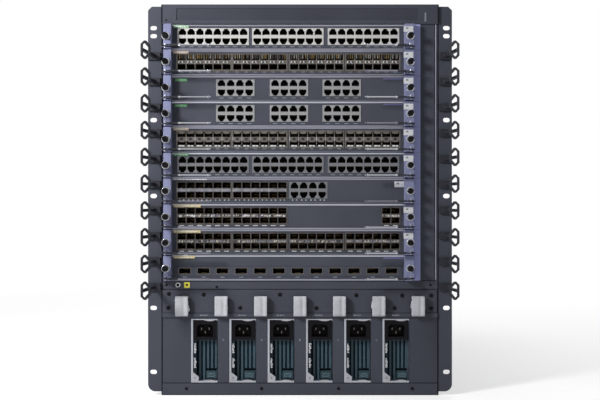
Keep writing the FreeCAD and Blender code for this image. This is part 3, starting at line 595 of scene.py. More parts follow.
# each card from the top: its ports and their finish, its label, the band between its cages and the finishes of its
# bent tabs, the length of the label, and its printed marks; a label with no length lies flat on the panel
layouts = [
    dict(groups=jackGroups, shell="shellWhite", label="labelGreen", long=24),
    dict(groups=slotGroups, shell="cageDim", label="labelPeach", band="springs", long=24),
    dict(groups=wideJackGroups, shell="shellGrey", label="labelDeep", blue=True),
    dict(groups=wideJackGroups, shell="shellGrey", label="labelDeep", blue=True),
    dict(groups=slotGroups, shell="cageDim", label="labelPeach", band="tabs", long=24),
    dict(groups=jackGroups, shell="shellSmoke", label="labelDeep", long=24),
    dict(groups=slotGroups[:2] + [("jack", 230.9, 4, 14.6)], shell="cageDark", label="markWhite", band="plain", long=54,
         ticks="pairs"),
    dict(groups=slotGroups[:2] + [("slot", 362.1, 2, 14.25)], shell="cageDark", label="labelTan", band="chips", long=43,
         ticks="bold", chips=(5, 7, 7, 8, 3)),
    dict(groups=slotGroups, shell="cageDark", label="labelTan", band="chips", long=43, ticks="bold",
         chips=(7, 8, 8, 3)),
    dict(groups=[("wide", 199.0, 12, 29.85)], shell="cageDim", label="labelTan", long=34, blue=True),
]
# the listed cards get painted shade on their lower lips and painted light on their upper flanges
face = dict(thick=2.0, end=15.0, ledge=(2.6, 2.2), flange=(1.4, 2.6), proud=0.8, margin=1.3, gap=0.12, rim=0.2,
            paintedShadeLedges=(2, 4, 6, 8), paintedLightFlanges=(3, 5, 7, 9), behind=7.0)


def jackOutline(x, z, keyUp):
    w, k, i, h, s = jack["width"] / 2, jack["keyWidth"] / 2, jack["keyInner"] / 2, jack["height"], jack["shoulder"]
    half = [(w, 0), (w, h - s), (w - 0.3, h - s + 0.6), (k, h - 1.2), (k - 0.2, h - 0.4), (i, h)]
    points = half + [(-a, b) for a, b in reversed(half)]
    points = points[-1:] + points[:-1]
    return [(x + a, z + (b if keyUp else h - b)) for a, b in points]


def columns(middle, count, pitch):
    return [middle + (i - (count - 1) / 2) * pitch for i in range(count)]


def groupBox(group, low):
    kind, offset, count, pitch = group
    middle, half = cardLeft + offset, count * pitch / 2 + face["margin"]
    return middle - half, low + kinds[kind]["low"], middle + half, low + kinds[kind]["high"]


def addJackBlock(bm, group, low):
    # 0 shell, 1 near-black walls and floors of the pockets, painted shade, 2 contacts in darkened gold, painted shade
    x0, z0, x1, z1 = groupBox(group, low)
    near = frontY - face["proud"]
    deep = near + jack["depth"]
    holes = []
    for x in columns(cardLeft + group[1], *group[2:]):
        for row, keyUp in zip(jack["rows"], (False, True)):
            z = low + row
            holes.append(jackOutline(x, z, keyUp))
            base = z + (jack["pinBase"] if keyUp else jack["height"] - jack["pinBase"])
            tip = z + (jack["pinTip"] if keyUp else jack["height"] - jack["pinTip"])
            pin = [(near + jack["pinNear"], base), (near + jack["pinNear"], base + jack["pinThick"]),
                   (deep, tip + jack["pinThick"]), (deep, tip)]
            for cx in columns(x, jack["pins"], jack["pinPitch"]):
                addPrism(bm, pin, "x", cx - jack["pinHalf"], cx + jack["pinHalf"], 2)
    addPanel(bm, rect(x0, z0, x1, z1), holes, near, deep + face["behind"], deep, 0.3, 0, 1)


# module cages: 0 metal, 1 dark host connectors and near-black pocket floors, the floors painted shade, 2 contacts in
# darkened gold, painted shade, 3 dark marks, 4 brass, 5 bright, 6 panel paint, 7 steel, 8 band
cage = dict(corner=0.5, leaf=((1.2, 0.02), (8, 0.9), (16, 0.3), (16, 0.02)), leafHalf=0.22, hostDepth=9, hostHalf=0.36,
            hostHigh=(0.3, 0.74), pins=8, pinPitch=0.08, pinHalf=0.2, pinDeep=(9.2, 8.9), pinHigh=(0.42, 0.64), rim=0.2,
            collar=1.1, collarGap=0.25, collarProud=0.35, thin=0.1, fingerPitch=2.9, fingerHalf=1.05,
            finger=((0, 0.1), (-0.4, 0.35), (-0.3, 0.8), (0, 0.95)))


def addRoofSprings(bm, x, roof, z, near, pick):
    # latch springs that hang from the roof of an upper slot
    look = dict(places=((-4.6, -3.2), (-0.8, 0.6), (2.6, 4.2)), half=0.4, tip=(1.8, 3.4))
    for dx in [pick.uniform(*ends) for ends in look["places"]]:
        tip = z + pick.uniform(*look["tip"])
        shape = [(near + 1.0, roof), (near + 1.6, tip), (near + 2.1, z + 2.4), (near + 2.0, roof)]
        addPrism(bm, shape, "x", x + dx - look["half"], x + dx + look["half"], pick.choice((4, 7, 0)))


# what fills the band between a pair of slots; all four take the same values, used or not
def addSprings(bm, x, low, mid, near, pick, mats):
    # a pressed cross between each pair, and bright tabs beside it
    look = dict(tabs=((-4.4, 5), (-1.6, 3), (1.0, 5), (4.2, 3)), half=0.6, tall=1.6, lean=(0.3, 0.8), proud=0.15,
                seat=0.3)
    h, t = look["half"], look["tall"]
    for dx, mat in look["tabs"]:
        lean = pick.uniform(*look["lean"]) * (1 if dx < 0 else -1)
        shape = [(x + dx - h - lean, mid - t), (x + dx + h - lean, mid - t), (x + dx + h + lean, mid + t),
                 (x + dx - h + lean, mid + t)]
        addPrism(bm, shape, "y", near - look["proud"], near + look["seat"], mat)


def addChips(bm, x, low, mid, near, pick, mats):
    # bent tabs of different width between each pair
    look = dict(wide=(1.0, 2.6), tall=(1.0, 2.3), lift=(-0.7, 0.7), proud=(0.1, 0.4), gap=(0.1, 0.5), end=1.2, seat=0.3)
    half = cageSlot["width"] / 2
    dx = -half
    while dx < half - look["end"]:
        wide, tall, lift = [pick.uniform(*look[key]) for key in ("wide", "tall", "lift")]
        shape = [(x + dx, mid - tall + lift), (x + dx + wide, mid - tall * 0.6 + lift),
                 (x + dx + wide, mid + tall + lift), (x + dx + 0.3, mid + tall * 0.7 + lift)]
        proud = pick.uniform(*look["proud"])
        addPrism(bm, shape, "y", near - proud, near + look["seat"], pick.choice(mats))
        dx += wide + pick.uniform(*look["gap"])


def addTabs(bm, x, low, mid, near, pick, mats):
    # folded flaps in the mouths, a bright tab under each lower one
    look = dict(left=(-4.8, -0.4, 2.1), right=(0.6, 4.6, 1.9), stray=(-0.6, 0.6), depth=(0.2, 1.0),
                flapDepth=(0.1, 0.9), lower=((-5.2, 0), (-4.2, -2.0), (4.2, -2.0), (5.2, 0)),
                plate=(-2.4, -2.2, 2.2, 1.9),
                upper=((-5.6, 0), (-4.6, -3.6), (-1.0, -4.2), (4.6, -3.6), (5.6, 0)), edge=(0.9, 0.4, 3.0, 3.2),
                bright=0.3)
    half, high = cageSlot["width"] / 2, cageSlot["height"]
    a, b = [near + d for d in look["depth"]]
    z = low + cageSlot["rows"][0]
    x0, x1, tall = look["left"]
    addBox(bm, x + x0, a, z, x + x1 + pick.uniform(*look["stray"]), b, z + tall, 5)
    x0, x1, tall = look["right"]
    addBox(bm, x + x0, a, z, x + x1, b, z + tall, 5)
    for row, flap in zip(cageSlot["rows"], (look["lower"], look["upper"])):
        shape = [(x + p, low + row + high + q) for p, q in flap]
        addPrism(bm, shape, "y", *[near + d for d in look["flapDepth"]], 0)
    x0, z0, x1, z1 = look["plate"]
    addBox(bm, x + x0, near - 0.1, mid + z0, x + x1, near + 0.2, mid + z1, 3)
    out, inner, down, up = look["edge"]
    addBox(bm, x - half - out, near - 0.2, mid - down, x - half - inner, near + 0.2, mid + up,
           5 if pick.random() < look["bright"] else 7)


def addPlain(bm, x, low, mid, near, pick, mats):
    # a plain band between each pair, now and then with a bright edge, and a dark notch above it
    look = dict(band=(0.2, -2.2, 2.4), edge=(0.9, 0.3, -3.4, 3.6), often=0.25, notch=(1.5, 2.6, 4.6))
    half = cageSlot["width"] / 2
    over, z0, z1 = look["band"]
    addBox(bm, x - half - over, near - 0.12, mid + z0, x + half + over, near + 0.2, mid + z1, 8)
    if pick.random() < look["often"]:
        out, inner, z0, z1 = look["edge"]
        addBox(bm, x - half - out, near - 0.2, mid + z0, x - half - inner, near + 0.2, mid + z1, 7)
    side, foot, peak = look["notch"]
    addPrism(bm, [(x - half + side, mid + foot), (x, mid + peak), (x + half - side, mid + foot)], "y",
             near + 0.1, near + 0.5, 3)


bands = {"springs": addSprings, "chips": addChips, "tabs": addTabs, "plain": addPlain}


def addSlotBlock(bm, group, low, pick, band, mats):
    size = kinds[group[0]]
    x0, z0, x1, z1 = groupBox(group, low)
    near = frontY - face["proud"]
    deep = near + size["depth"]
    w, h = size["width"], size["height"]
    middles = columns(cardLeft + group[1], *group[2:])
    holes = []
    for x in middles:
        for k, row in enumerate(size["rows"]):
            z = low + row
            holes.append(rect(x - w / 2, z, x + w / 2, z + h, cage["corner"]))
            # spring leaf in the slot, and the host connector at its end
            leaf, host = w * cage["leafHalf"], w * cage["hostHalf"]
            addPrism(bm, [(near + a, z + b) for a, b in cage["leaf"]], "x", x - leaf, x + leaf, 4)
            a, b = [z + h * share for share in cage["hostHigh"]]
            addBox(bm, x - host, deep - cage["hostDepth"], a, x + host, deep, b, 1)
            a, b = [z + h * share for share in cage["pinHigh"]]
            for cx in columns(x, cage["pins"], w * cage["pinPitch"]):
                addBox(bm, cx - cage["pinHalf"], deep - cage["pinDeep"][0], a,
                       cx + cage["pinHalf"], deep - cage["pinDeep"][1], b, 2)
            if band == "springs" and k:
                addRoofSprings(bm, x, z + h, z, near, pick)
    paired = len(size["rows"]) > 1
    if paired:
        mid = low + (size["rows"][0] + h + size["rows"][1]) / 2
        for x in middles:
            bands[band](bm, x, low, mid, near, pick, mats)
    addPanel(bm, rect(x0, z0, x1, z1), holes, near, deep + face["behind"], deep, cage["rim"], 0 if paired else 6, 0, 1)
    if not paired:
        for hole in holes:
            addPanel(bm, outset(hole, cage["collar"]), [outset(hole, cage["collarGap"])], near - cage["collarProud"],
                     near + cage["thin"], rim=cage["thin"])
        return
    # gasket fingers along the top and the bottom of the cages
    count = int((x1 - x0) / cage["fingerPitch"])
    for x in columns((x0 + x1) / 2, count, (x1 - x0) / count):
        for z, d in ((z0, 1), (z1, -1)):
            addPrism(bm, [(near + a, z + d * b) for a, b in cage["finger"]], "x",
                     x - cage["fingerHalf"], x + cage["fingerHalf"], 0)


# small printed marks under the ports: material, height, width, tall, shift
ticks = {
    "jack": [(0, 4.6, 7.0, 1.3, 0)],
    "wide": [(0, 4.6, 6.4, 1.4, 0)],
    "slot": [(0, 5.3, 5.6, 1.2, 0)],
    "bold": [(1, 5.3, 7.6, 1.2, 0)],
    "pairs": [(1, 5.0, 1.7, 1.5, 3.4), (1, 5.0, 1.7, 1.5, -3.0)],
}


def addDashes(bm, seed, x, end, y, thin, z0, z1, short, vary, mat):
    # a row of dashes with different lengths
    pick = random.Random(seed)
    while x < end:
        run = short + pick.random() * vary
        addBox(bm, x, y - thin, z0, x + run, y, z1, mat)
        x += run + 0.9


def makeCardPrint(index):
    # 0 dim marks, 1 white marks, 2 label, 3 dashes on it, 4 blue mark, 5 dashes of the flat label
    look = dict(thin=0.12, start=17, label=(34.9, 39.2), fold=(35.2, 37.4), thick=0.35, dash=(36.3, 37.8), indent=0.5,
                bare=(37.6, 39.4), flatStart=19, flatLong=19.5, flat=(31.6, 35.8), flatDash=(33.0, 34.6),
                flatDashes=((2, 6.2), (6.8, 9), (9.8, 13), (15, 16.6)), blue=(132, 34.6, 163, 36.6))
    node, low, layout = cardNames[index], cardLow[index], layouts[index]
    bm = bmesh.new()
    for group in layout["groups"]:
        for mat, z, wide, tall, shift in ticks[layout.get("ticks", group[0])]:
            for x in columns(cardLeft + group[1] + shift, *group[2:]):
                addBox(bm, x - wide / 2, frontY - look["thin"], low + z, x + wide / 2, frontY, low + z + tall, mat)
    y = frontY - face["flange"][0]
    x0 = cardLeft + look["start"]
    if "long" not in layout:
        # label flat on the panel
        x0 = cardLeft + look["flatStart"]
        z0, z1 = look["flat"]
        addBox(bm, x0, frontY - 0.15, low + z0, x0 + look["flatLong"], frontY, low + z1, 2)
        z0, z1 = look["flatDash"]
        for a, b in look["flatDashes"]:
            addBox(bm, x0 + a, frontY - 0.22, low + z0, x0 + b, frontY - 0.15, low + z1, 5)
    elif layout["label"] == "markWhite":
        # only dashes, on the flange
        z0, z1 = look["bare"]
        addDashes(bm, index, x0 + 1, x0 + layout["long"] - 4, frontY - 1.4, 0.1, low + z0, low + z1, 1.5, 3, 1)
    else:
        # label over the flange
        x1, inset = x0 + layout["long"], look["indent"]
        z0, z1 = look["label"]
        addBox(bm, x0, y - look["thick"], low + z0, x1, y, low + z1, 2)
        z0, z1 = look["fold"]
        addBox(bm, x0 + inset, y, low + z0, x1 - inset, frontY, low + z1, 2)
        z0, z1 = look["dash"]
        addDashes(bm, index, x0 + 2, x1 - 5, y - look["thick"], 0.1, low + z0, low + z1, 1.2, 2.6, 3)
    if layout.get("blue"):
        x0, z0, x1, z1 = look["blue"]
        addBox(bm, x0, frontY - look["thin"], low + z0, x1, frontY, low + z1, 4)
    makePiece(f"{node}_print", bm, node,
              ["markDim", "markWhite", layout["label"], "markWhite", "markBlue", "labelGreen"])


def makeCardFace(index):
    node, low, layout = cardNames[index], cardLow[index], layouts[index]
    g, y = face["gap"], frontY
    windows = [rect(x0 - g, z0 - g, x1 + g, z1 + g) for x0, z0, x1, z1 in (groupBox(p, low) for p in layout["groups"])]
    left, right, top = cardLeft + face["end"], cardRight - face["end"], low + cardHeight
    bm = bmesh.new()
    addPanel(bm, rect(cardLeft, low, cardRight, top), windows, y, y + face["thick"], rim=face["rim"])
    # 1 lower lip and 2 upper flange, bare and rolled over; the lower lips of some cards take a darker copy of the steel
    # as painted shade, the upper flanges of others a lighter copy as painted light
    reach, tall = face["ledge"]
    addPrism(bm, [(y, low), (y - reach + 0.1, low), (y - reach, low + 0.1), (y - reach, low + tall - 0.7),
                  (y - reach + 0.7, low + tall), (y, low + tall)], "x", left, right, 1)
    reach, tall = face["flange"]
    addPrism(bm, [(y, top - tall), (y - reach + 0.5, top - tall), (y - reach, top - tall + 0.5),
                  (y - reach, top - 0.1), (y - reach + 0.1, top), (y, top)], "x", left, right, 2)
    lower = "lipPaintedShade" if index in face["paintedShadeLedges"] else "ledgeSteel"
    upper = "lipPaintedLight" if index in face["paintedLightFlanges"] else "ledgeSteel"
    makePiece(f"{node}_plate", bm, node, ["panelPaint", lower, upper], 0.1, [node])

    blocks, cages = bmesh.new(), bmesh.new()
    for group in layout["groups"]:
        if group[0] == "jack":
            addJackBlock(blocks, group, low)
        else:
            pick = random.Random(80 * index + int(group[1]))
            addSlotBlock(cages, group, low, pick, layout.get("band"), layout.get("chips"))
    if blocks.faces:
        shade = layout["shell"] if layout["shell"].startswith("shell") else "shellSmoke"
        makePiece(f"{node}_jacks", blocks, node, [shade, "blackPartsAndShade", "contactGoldShaded"])
    if cages.faces:
        makePiece(f"{node}_cages", cages, node,
                  [layout["shell"], "blackPartsAndShade", "contactGoldShaded", "chipBlack", "cageBrass", "brightSteel", "panelPaint",
                   "cageSteel", "cageBand"])


# moulded ends of the cards: the slot for the lever runs through each near its lower edge
endBlock = dict(depth=14.0, gap=0.3, slot=(2.9, 5.3), web=1.6, soft=1.6, shadeStrip=2.6, shadeStripDepth=(10, 11.5))
hinge = dict(inset=5.7, back=8.9)                              # the lever's pin, from the card's side and its front


def addEndBlock(bm, x0, x1, low):
    near, far = frontY - endBlock["depth"], frontY
    z0, z1 = low + endBlock["gap"], low + cardHeight - endBlock["gap"]
    s0, s1 = [low + s for s in endBlock["slot"]]
    c = endBlock["soft"]
    addPrism(bm, [(far, s1), (near, s1), (near, z1 - c), (near + c * 0.35, z1 - c * 0.35), (near + c, z1), (far, z1)],
             "x", x0, x1)
    addPrism(bm, [(far, z0), (near + c, z0), (near + c * 0.35, z0 + c * 0.35), (near, z0 + c), (near, s0), (far, s0)],
             "x", x0, x1)
    addBox(bm, x0, far - endBlock["web"], s0, x1, far, s1)


def makeCardEnds(index):
    node, low = cardNames[index], cardLow[index]
    shadeStrip = endBlock["shadeStrip"]                                # soft dark edge beside the box
    bm = bmesh.new()
    addEndBlock(bm, cardLeft + shadeStrip, cardLeft + face["end"], low)
    addEndBlock(bm, cardRight - face["end"], cardRight, low)
    makePiece(f"{node}_ends", bm, node, ["bluePlastic"], 0.7, segments=3)
    # stepped dark strip on the outer edge of the left end, shaped like a gasket: painted shade of that edge
    bm = bmesh.new()
    inner, outer = [frontY - d for d in endBlock["shadeStripDepth"]]
    s0, s1 = endBlock["slot"]
    for a, b in ((low + endBlock["gap"], low + s0), (low + s1, low + cardHeight - endBlock["gap"])):
        addPrism(bm, [(frontY, a), (inner, a), (outer, a + 1), (outer, b - 1), (inner, b), (frontY, b)],
                 "x", cardLeft, cardLeft + shadeStrip)
    makePiece(f"{node}_gasket", bm, node, ["shadeBlack"], 0.3)
    makeCardScrews(index)


def makeCardScrews(index):
    # 0 ferrules and pins, 1 knurled knobs, 2 their slots drawn as near-black bars, painted shade, 3 label, 4 its mark,
    # 5 knuckles of the hinges
    look = dict(inset=6.4, seat=14.0, ferrule=(6.4, 2.4), knob=(4.75, 8.6), flute=0.28, slot=(2.0, 0.35, 0.2, 0.52),
                pin=(2.1, 1.5), pinHeights=(2.6, 3.1, 5.1, 5.6), knuckle=(1.9, 1.4, 13.9),
                knuckles=((0.8, 2.7), (5.6, 8.8)), label=(15.2, 26.2, 35.2), labelPlace=17.0, innerLabel=(6, 30.0),
                mark=(3.5, 30.8, 7.4, 33.2))
    node, low = cardNames[index], cardLow[index]
    bm = bmesh.new()
    for x in (cardLeft + look["inset"], cardRight - look["inset"]):
        z, y = low + cardHeight / 2, frontY - look["seat"]
        r, d = look["ferrule"]
        addTurned(bm, [(0, y + 0.3), (r, y + 0.3), (r, y - d + 0.8), (r - 0.7, y - d), (r - 1.3, y - d),
                       (r - 1.6, y - d + 0.5), (0, y - d + 0.5)], x, z, 36, 0)
        k, long = look["knob"]
        e = y - d - long
        addTurned(bm, [(0, y - d + 0.6, 1), (k - 1.2, y - d + 0.6, 1), (k - 1.2, y - d - 0.9, 1),
                       (k, y - d - 1.5, 1, 1), (k, e + 1.0, 1, 1), (k - 0.9, e, 1), (k - 2.2, e, 1),
                       (k - 2.5, e + 0.5, 1), (0, e + 0.5, 1)], x, z, 48, 1, look["flute"])
        half, thin, a, b = look["slot"]
        addBox(bm, x - half, e + a, z - thin, x + half, e + b, z + thin, 2)
        addBox(bm, x - thin, e + a, z - half, x + thin, e + b, z + half, 2)
    r, waist = look["pin"]
    z0, z1, z2, z3 = look["pinHeights"]
    wide, out, back = look["knuckle"]
    for x in (cardLeft + hinge["inset"], cardRight - hinge["inset"]):
        addTurned(bm, [(0, z0), (r, z0), (r, z1), (waist, z1), (waist, z2), (r, z2), (r, z3), (0, z3)], 0, 0, 16, 0,
                  place=upright(x, frontY - hinge["back"], low))
        bow = [(x + wide * math.cos(t), frontY - back - out * math.sin(t)) for t in (math.pi * i / 8 for i in range(9))]
        for a, b in look["knuckles"]:
            addPrism(bm, bow, "z", low + a, low + b, 5)
    if index < len(cardNames) - 1:
        wide, z0, z1 = look["label"]
        x, y = cardRight - look["labelPlace"], frontY - look["seat"]
        if index == look["innerLabel"][0]:
            x, y = cardRight - look["innerLabel"][1], frontY
        addBox(bm, x, y - 0.5, low + z0, x + wide, y - 0.02, low + z1, 3)
        mx0, mz0, mx1, mz1 = look["mark"]
        addBox(bm, x + mx0, y - 0.6, low + mz0, x + mx1, y - 0.5, low + mz1, 4)
    makePiece(f"{node}_screws", bm, node,
              ["brightSteel", "knobBlack", "blackPartsAndShade", "markWhite", "markDim", "ledgeSteel"], 0.1)


def makeCardBoard(index):
    # 0 board, 1 chips, 2 heat sink and capacitors, 3 rear connectors
    look = dict(low=5.0, thick=1.6, inset=(1.3, 0.5), rear=54.7, sink=(64, 90, 20, 11), sinkAt=(20, 150), base=3,
                fin=1.6, connector=(58, 16, 14), shares=(0.18, 0.74), pins=(14, 2), pinPitch=(3.9, 6),
                pin=(3, 5.2, 3, 5.4),
                chips=(5, 4), chipAt=(38, 75), chipPitch=(76, 72), chipSizes=(10, 14, 20, 27), chipHigh=1.6,
                small=70, smallSizes=((1.0, 0.5), (0.5, 1.0), (1.6, 0.8)), smallHigh=0.7, smallEnds=(8, 56, 24),
                cans=8, canAt=(24, 40), canPitch=12, canJump=200, can=(3.1, 2.6, 7.5, 8))
    node, low = cardNames[index], cardLow[index]
    x0, x1 = cardLeft + look["inset"][0], cardRight - look["inset"][1]
    z0, rear = low + look["low"], look["rear"]
    z1 = z0 + look["thick"]
    bm = bmesh.new()
    addBox(bm, x0, frontY + face["thick"], z0, x1, rear, z1, 0)
    pick = random.Random(40 + index)
    w, d, h, fins = look["sink"]
    middle, y = (x0 + x1) / 2 + look["sinkAt"][0], frontY + look["sinkAt"][1]
    addBox(bm, middle - w / 2, y, z1, middle + w / 2, y + d, z1 + look["base"], 2)
    for i in range(fins):
        x = middle - w / 2 + (w - look["fin"]) * i / (fins - 1)
        addBox(bm, x, y, z1 + look["base"], x + look["fin"], y + d, z1 + h, 2)
    wide, deep, high = look["connector"]
    a, b, c, e = look["pin"]
    for share in look["shares"]:
        x = x0 + share * (x1 - x0) - wide / 2
        addBox(bm, x, rear - deep, z1, x + wide, rear, z1 + high, 3)
        for i in range(look["pins"][0]):
            for j in range(look["pins"][1]):
                px, pz = x + i * look["pinPitch"][0], z1 + j * look["pinPitch"][1]
                addBox(bm, px + a, rear - deep - 0.2, pz + c, px + b, rear - deep, pz + e, 1)
    for i in range(look["chips"][0]):
        for j in range(look["chips"][1]):
            cx = x0 + look["chipAt"][0] + i * look["chipPitch"][0]
            cy = frontY + look["chipAt"][1] + j * look["chipPitch"][1]
            if abs(cx - middle) < 52 and -30 < cy - y < 120:
                continue                                       # the heat sink stands there
            s = pick.choice(look["chipSizes"]) / 2
            addBox(bm, cx - s, cy - s, z1, cx + s, cy + s, z1 + look["chipHigh"], 1)
    side, front, back = look["smallEnds"]
    for i in range(look["small"]):
        cx, cy = pick.uniform(x0 + side, x1 - side), pick.uniform(frontY + front, rear - back)
        if abs(cx - middle) < 40 and -10 < cy - y < 100:
            continue
        a, b = pick.choice(look["smallSizes"])
        addBox(bm, cx - a, cy - b, z1, cx + a, cy + b, z1 + look["smallHigh"], 3 if i % 3 else 1)
    r, top, shoulder, high = look["can"]
    for i in range(look["cans"]):
        cx = x0 + look["canAt"][0] + i * look["canPitch"] + (0 if i < look["cans"] / 2 else look["canJump"])
        addTurned(bm, [(0, 0), (r, 0), (r, shoulder), (top, high), (0, high)], 0, 0, 16, 2,
                  place=upright(cx, rear - look["canAt"][1], z1))
    makePiece(f"{node}_board", bm, node,
              ["circuitBoard", "chipBlack", "sinkAluminium", "connectorTan"])


def makeLever(side, index):
    # flat steel bar: eye on the pivot, nose beside the box, arm along the card; a rivet near each end of the arm
    look = dict(thick=1.8, low=3.2, length=73.0, eye=4.0, nose=7.0, reach=12.5, width=5.0, grip=21.5, gripStart=8.5,
                gripOver=0.5, rivets=(24.0, 68.5), rivet=1.35, rivetLow=2.0,
                shadedRows=dict(left=(6, 7, 8, 9), right=(1, 3, 6)))
    node, z0 = f"lever_{side}_{index + 1:02d}", cardLow[index] + look["low"]
    sign, px = (1, cardLeft + hinge["inset"]) if side == "left" else (-1, cardRight - hinge["inset"])
    py, z1 = frontY - hinge["back"], z0 + look["thick"]
    eye, nose, long, grip = look["eye"], look["nose"], look["length"], look["grip"]
    near, far = look["reach"], look["reach"] + look["width"]
    heel = [(eye * math.cos(math.radians(t)), eye * math.sin(math.radians(t))) for t in range(-55, -126, -14)]
    outline = [(-nose, -1.6), (-nose, 2.2), (-2.0, eye), (3.5, far), (grip, far), (long - 4, far),
               (long - 2, far + 2.5), (long, far + 2.5), (long, near), (grip, near), (7.5, near), (eye, 0.5), *heel]
    # the faces of the eye, the nose and the heel take the dark finish: painted shade of the slot they sit in
    sides = [1] * 4 + [0] * 5 + [1] * (3 + len(heel))
    # levers of the listed cards take the darker copy of the steel, painted shade
    arm = "leverPaintedShade" if index in look["shadedRows"][side] else "leverSteel"
    bm = bmesh.new()
    addPrism(bm, [(px + sign * a, py - b) for a, b in outline], "z", z0, z1, 0, sides)
    # dark sleeve over the root of the arm; its dark colour is partly painted shade near the end block
    a, b = sorted((px + sign * look["gripStart"], px + sign * grip))
    over = look["gripOver"]
    addBox(bm, a, py - far - over, z0 - over, b, py - near + over, z1 + over, 1)
    r = look["rivet"]
    for along in look["rivets"]:
        addTurned(bm, [(0, -1.9), (r * 0.7, -1.8), (r, -1.2), (r, 1.2), (r * 0.7, 1.8), (0, 1.9)], 0, 0, 18, 2,
                  place=upright(px + sign * along, py - far + look["rivetLow"], (z0 + z1) / 2))
    makePiece(f"{node}_bar", bm, node,
              [arm, "leverDark", "brightSteel" if arm == "leverSteel" else arm], 0.3, [node])


for index in range(len(cardNames)):
    makeCardFace(index)
    makeCardPrint(index)
    makeCardEnds(index)
    makeCardBoard(index)
    makeLever("left", index)
    makeLever("right", index)
print("cards and levers made")


def makeLabelStrip():
    # coloured strip down the right of the cards, with a thin line at each card; its colour is lightened as painted
    # light against the shadow of the end blocks
    look = dict(inset=0.4, line=0.6, proud=0.1, bevel=0.2)
    x0, y0, z0, x1, y1, z1 = nodeBox("slot_label_strip")
    bm = bmesh.new()
    addBox(bm, x0, y0, z0, x1, y1, z1, 0)
    for low in cardLow[:-1]:
        addBox(bm, x0 + look["inset"], y0 - look["proud"], low - look["line"], x1 - look["inset"], y0, low, 1)
    makePiece("labelStrip", bm, "chassis", ["stripBluePaintedLight", "markDim"], look["bevel"], ["slot_label_strip"])


def makeEarthPoint():
    # socket for a wrist strap, and the plain square label beside it
    look = dict(rim=(0.6, 1.2, 1.5, 0.8), hole=2.0, label=(-184, 170.5, -175, 179.5), thick=0.3,
                dot=(-179.5, 175.2, 1.9), dotThick=0.06)
    x0, y0, z0, x1, y1, z1 = nodeBox("esd_socket")
    r, hole = (x1 - x0) / 2, look["hole"]
    round0, flat0, lip, deep = look["rim"]
    bm = bmesh.new()
    # the bore of the socket is near-black, painted shade
    addTurned(bm, [(0, y1), (r, y1), (r, y0 + round0), (r - round0, y0), (r - flat0, y0), (r - lip, y0 + deep),
                   (hole, y0 + deep, 1), (hole, y1 - 0.3, 1), (0, y1 - 0.3, 1)], (x0 + x1) / 2, (z0 + z1) / 2, 28, 0)
    makePiece("earthSocket", bm, "chassis", ["brightSteel", "blackPartsAndShade"], 0.1, ["esd_socket"])
    y = frontY - look["thick"]
    x0, z0, x1, z1 = look["label"]
    x, z, r = look["dot"]
    bm = bmesh.new()
    addBox(bm, x0, y, z0, x1, frontY, z1, 0)
    addTurned(bm, [(0, y), (r, y), (r, y - look["dotThick"]), (0, y - look["dotThick"])], x, z, 16, 1)
    makePiece("earthLabel", bm, "chassis", ["labelYellow", "blackPartsAndShade"])


def makeFrontTrim():
    # 0 dark strips of painted shadow along the side edges, in the seams and beside the right pillar, 1 bare steel strip
    # on the edge of the right pillar as a painted highlight, 2 small printed marks on the lip
    look = dict(side=(2.0, 0.05), seam=0.25, bezelSeam=(3.2, 3.02), bezelGap=0.3, edge=(5.6, 4.0, 1.6), shade=1.0,
                seams=(cardLow[-1] - 14.4, 130.7, 19.2, cardLow[-1] - 0.6), seamIn=2.2, seamHigh=0.8,
                marks=((14.5, 18.5), (19.6, 22.6), (23.4, 26.2)), markHigh=(126.6, 128.2))
    split, gap, (out, inner) = nodeBox("top_bezel")[2], look["bezelGap"], look["bezelSeam"]
    bm = bmesh.new()
    # dark strips down both sides of the front: painted shadow at the edges of the tub
    for s in (-1, 1):
        a, b = sorted(s * (sideX - d) for d in look["side"])
        addBox(bm, a, frontY - look["seam"], 3, b, frontY - 0.02, split - gap, 0)
        addBox(bm, a, frontY - out, split + gap, b, frontY - inner, topZ - 1, 0)
    # bare steel strip for the lit edge of the right pillar, a painted highlight, and a dark strip of painted shade at
    # its left
    far, near, proud = look["edge"]
    x0, z0, z1 = sideX - far, cardLow[-1] + 1, cardLow[0] + cardHeight
    addBox(bm, x0, frontY - proud, z0, sideX - near, frontY, z1, 1)
    addBox(bm, x0 - look["shade"], frontY - 0.2, z0, x0, frontY, z1, 0)
    # dark strips across the front: painted shadow in the seams between the panels
    half = sideX - look["seamIn"]
    for z in look["seams"]:
        addBox(bm, -half, frontY - look["seam"], z, half, frontY, z + look["seamHigh"], 0)
    lip = nodeBox("front_frame")[1]
    z0, z1 = look["markHigh"]
    for name in supplyNames:
        x = nodeBox(name)[0]
        for a, b in look["marks"]:
            addBox(bm, x + a, lip - 0.08, z0, x + b, lip - 0.01, z1, 2)
    makePiece("frontTrim", bm, "chassis", ["shadeBlack", "ledgeSteel", "markDim"])


def makePanelScrews():
    # radius, height over the sheet and places of each kind of screw
    look = dict(panel=(3.3, 1.5, ((-208, 161), (-209, 139), (-153, 160), (-95, 139), (-32, 160), (26, 138.5), (89, 159),
                                  (150, 138.5), (162, 158.5), (208, 158.5), (208, 138))),
                foot=(2.6, 1.5, ((-180, 11), (-61, 11), (61, 11), (178, 11))),
                strip=(2.0, 0, ((-212, 175), (207, 175), (-132, 172))), pillar=(1.3, 87.4))
    bm = bmesh.new()
    for kind in ("panel", "foot", "strip"):
        radius, proud, places = look[kind]
        for x, z in places:
            addScrew(bm, x, frontY - proud, z, radius)
    radius, z = look["pillar"]
    for a, b in zip(supplyNames, supplyNames[1:]):
        addScrew(bm, (nodeBox(a)[3] + nodeBox(b)[0]) / 2, frontY, z, radius, mat=2)
    makePiece("panelScrews", bm, "chassis", ["knobBlack", "blackPartsAndShade", "ledgeSteel"])


makeLabelStrip()
makeEarthPoint()
makeFrontTrim()
makePanelScrews()
print("labels and trim made")


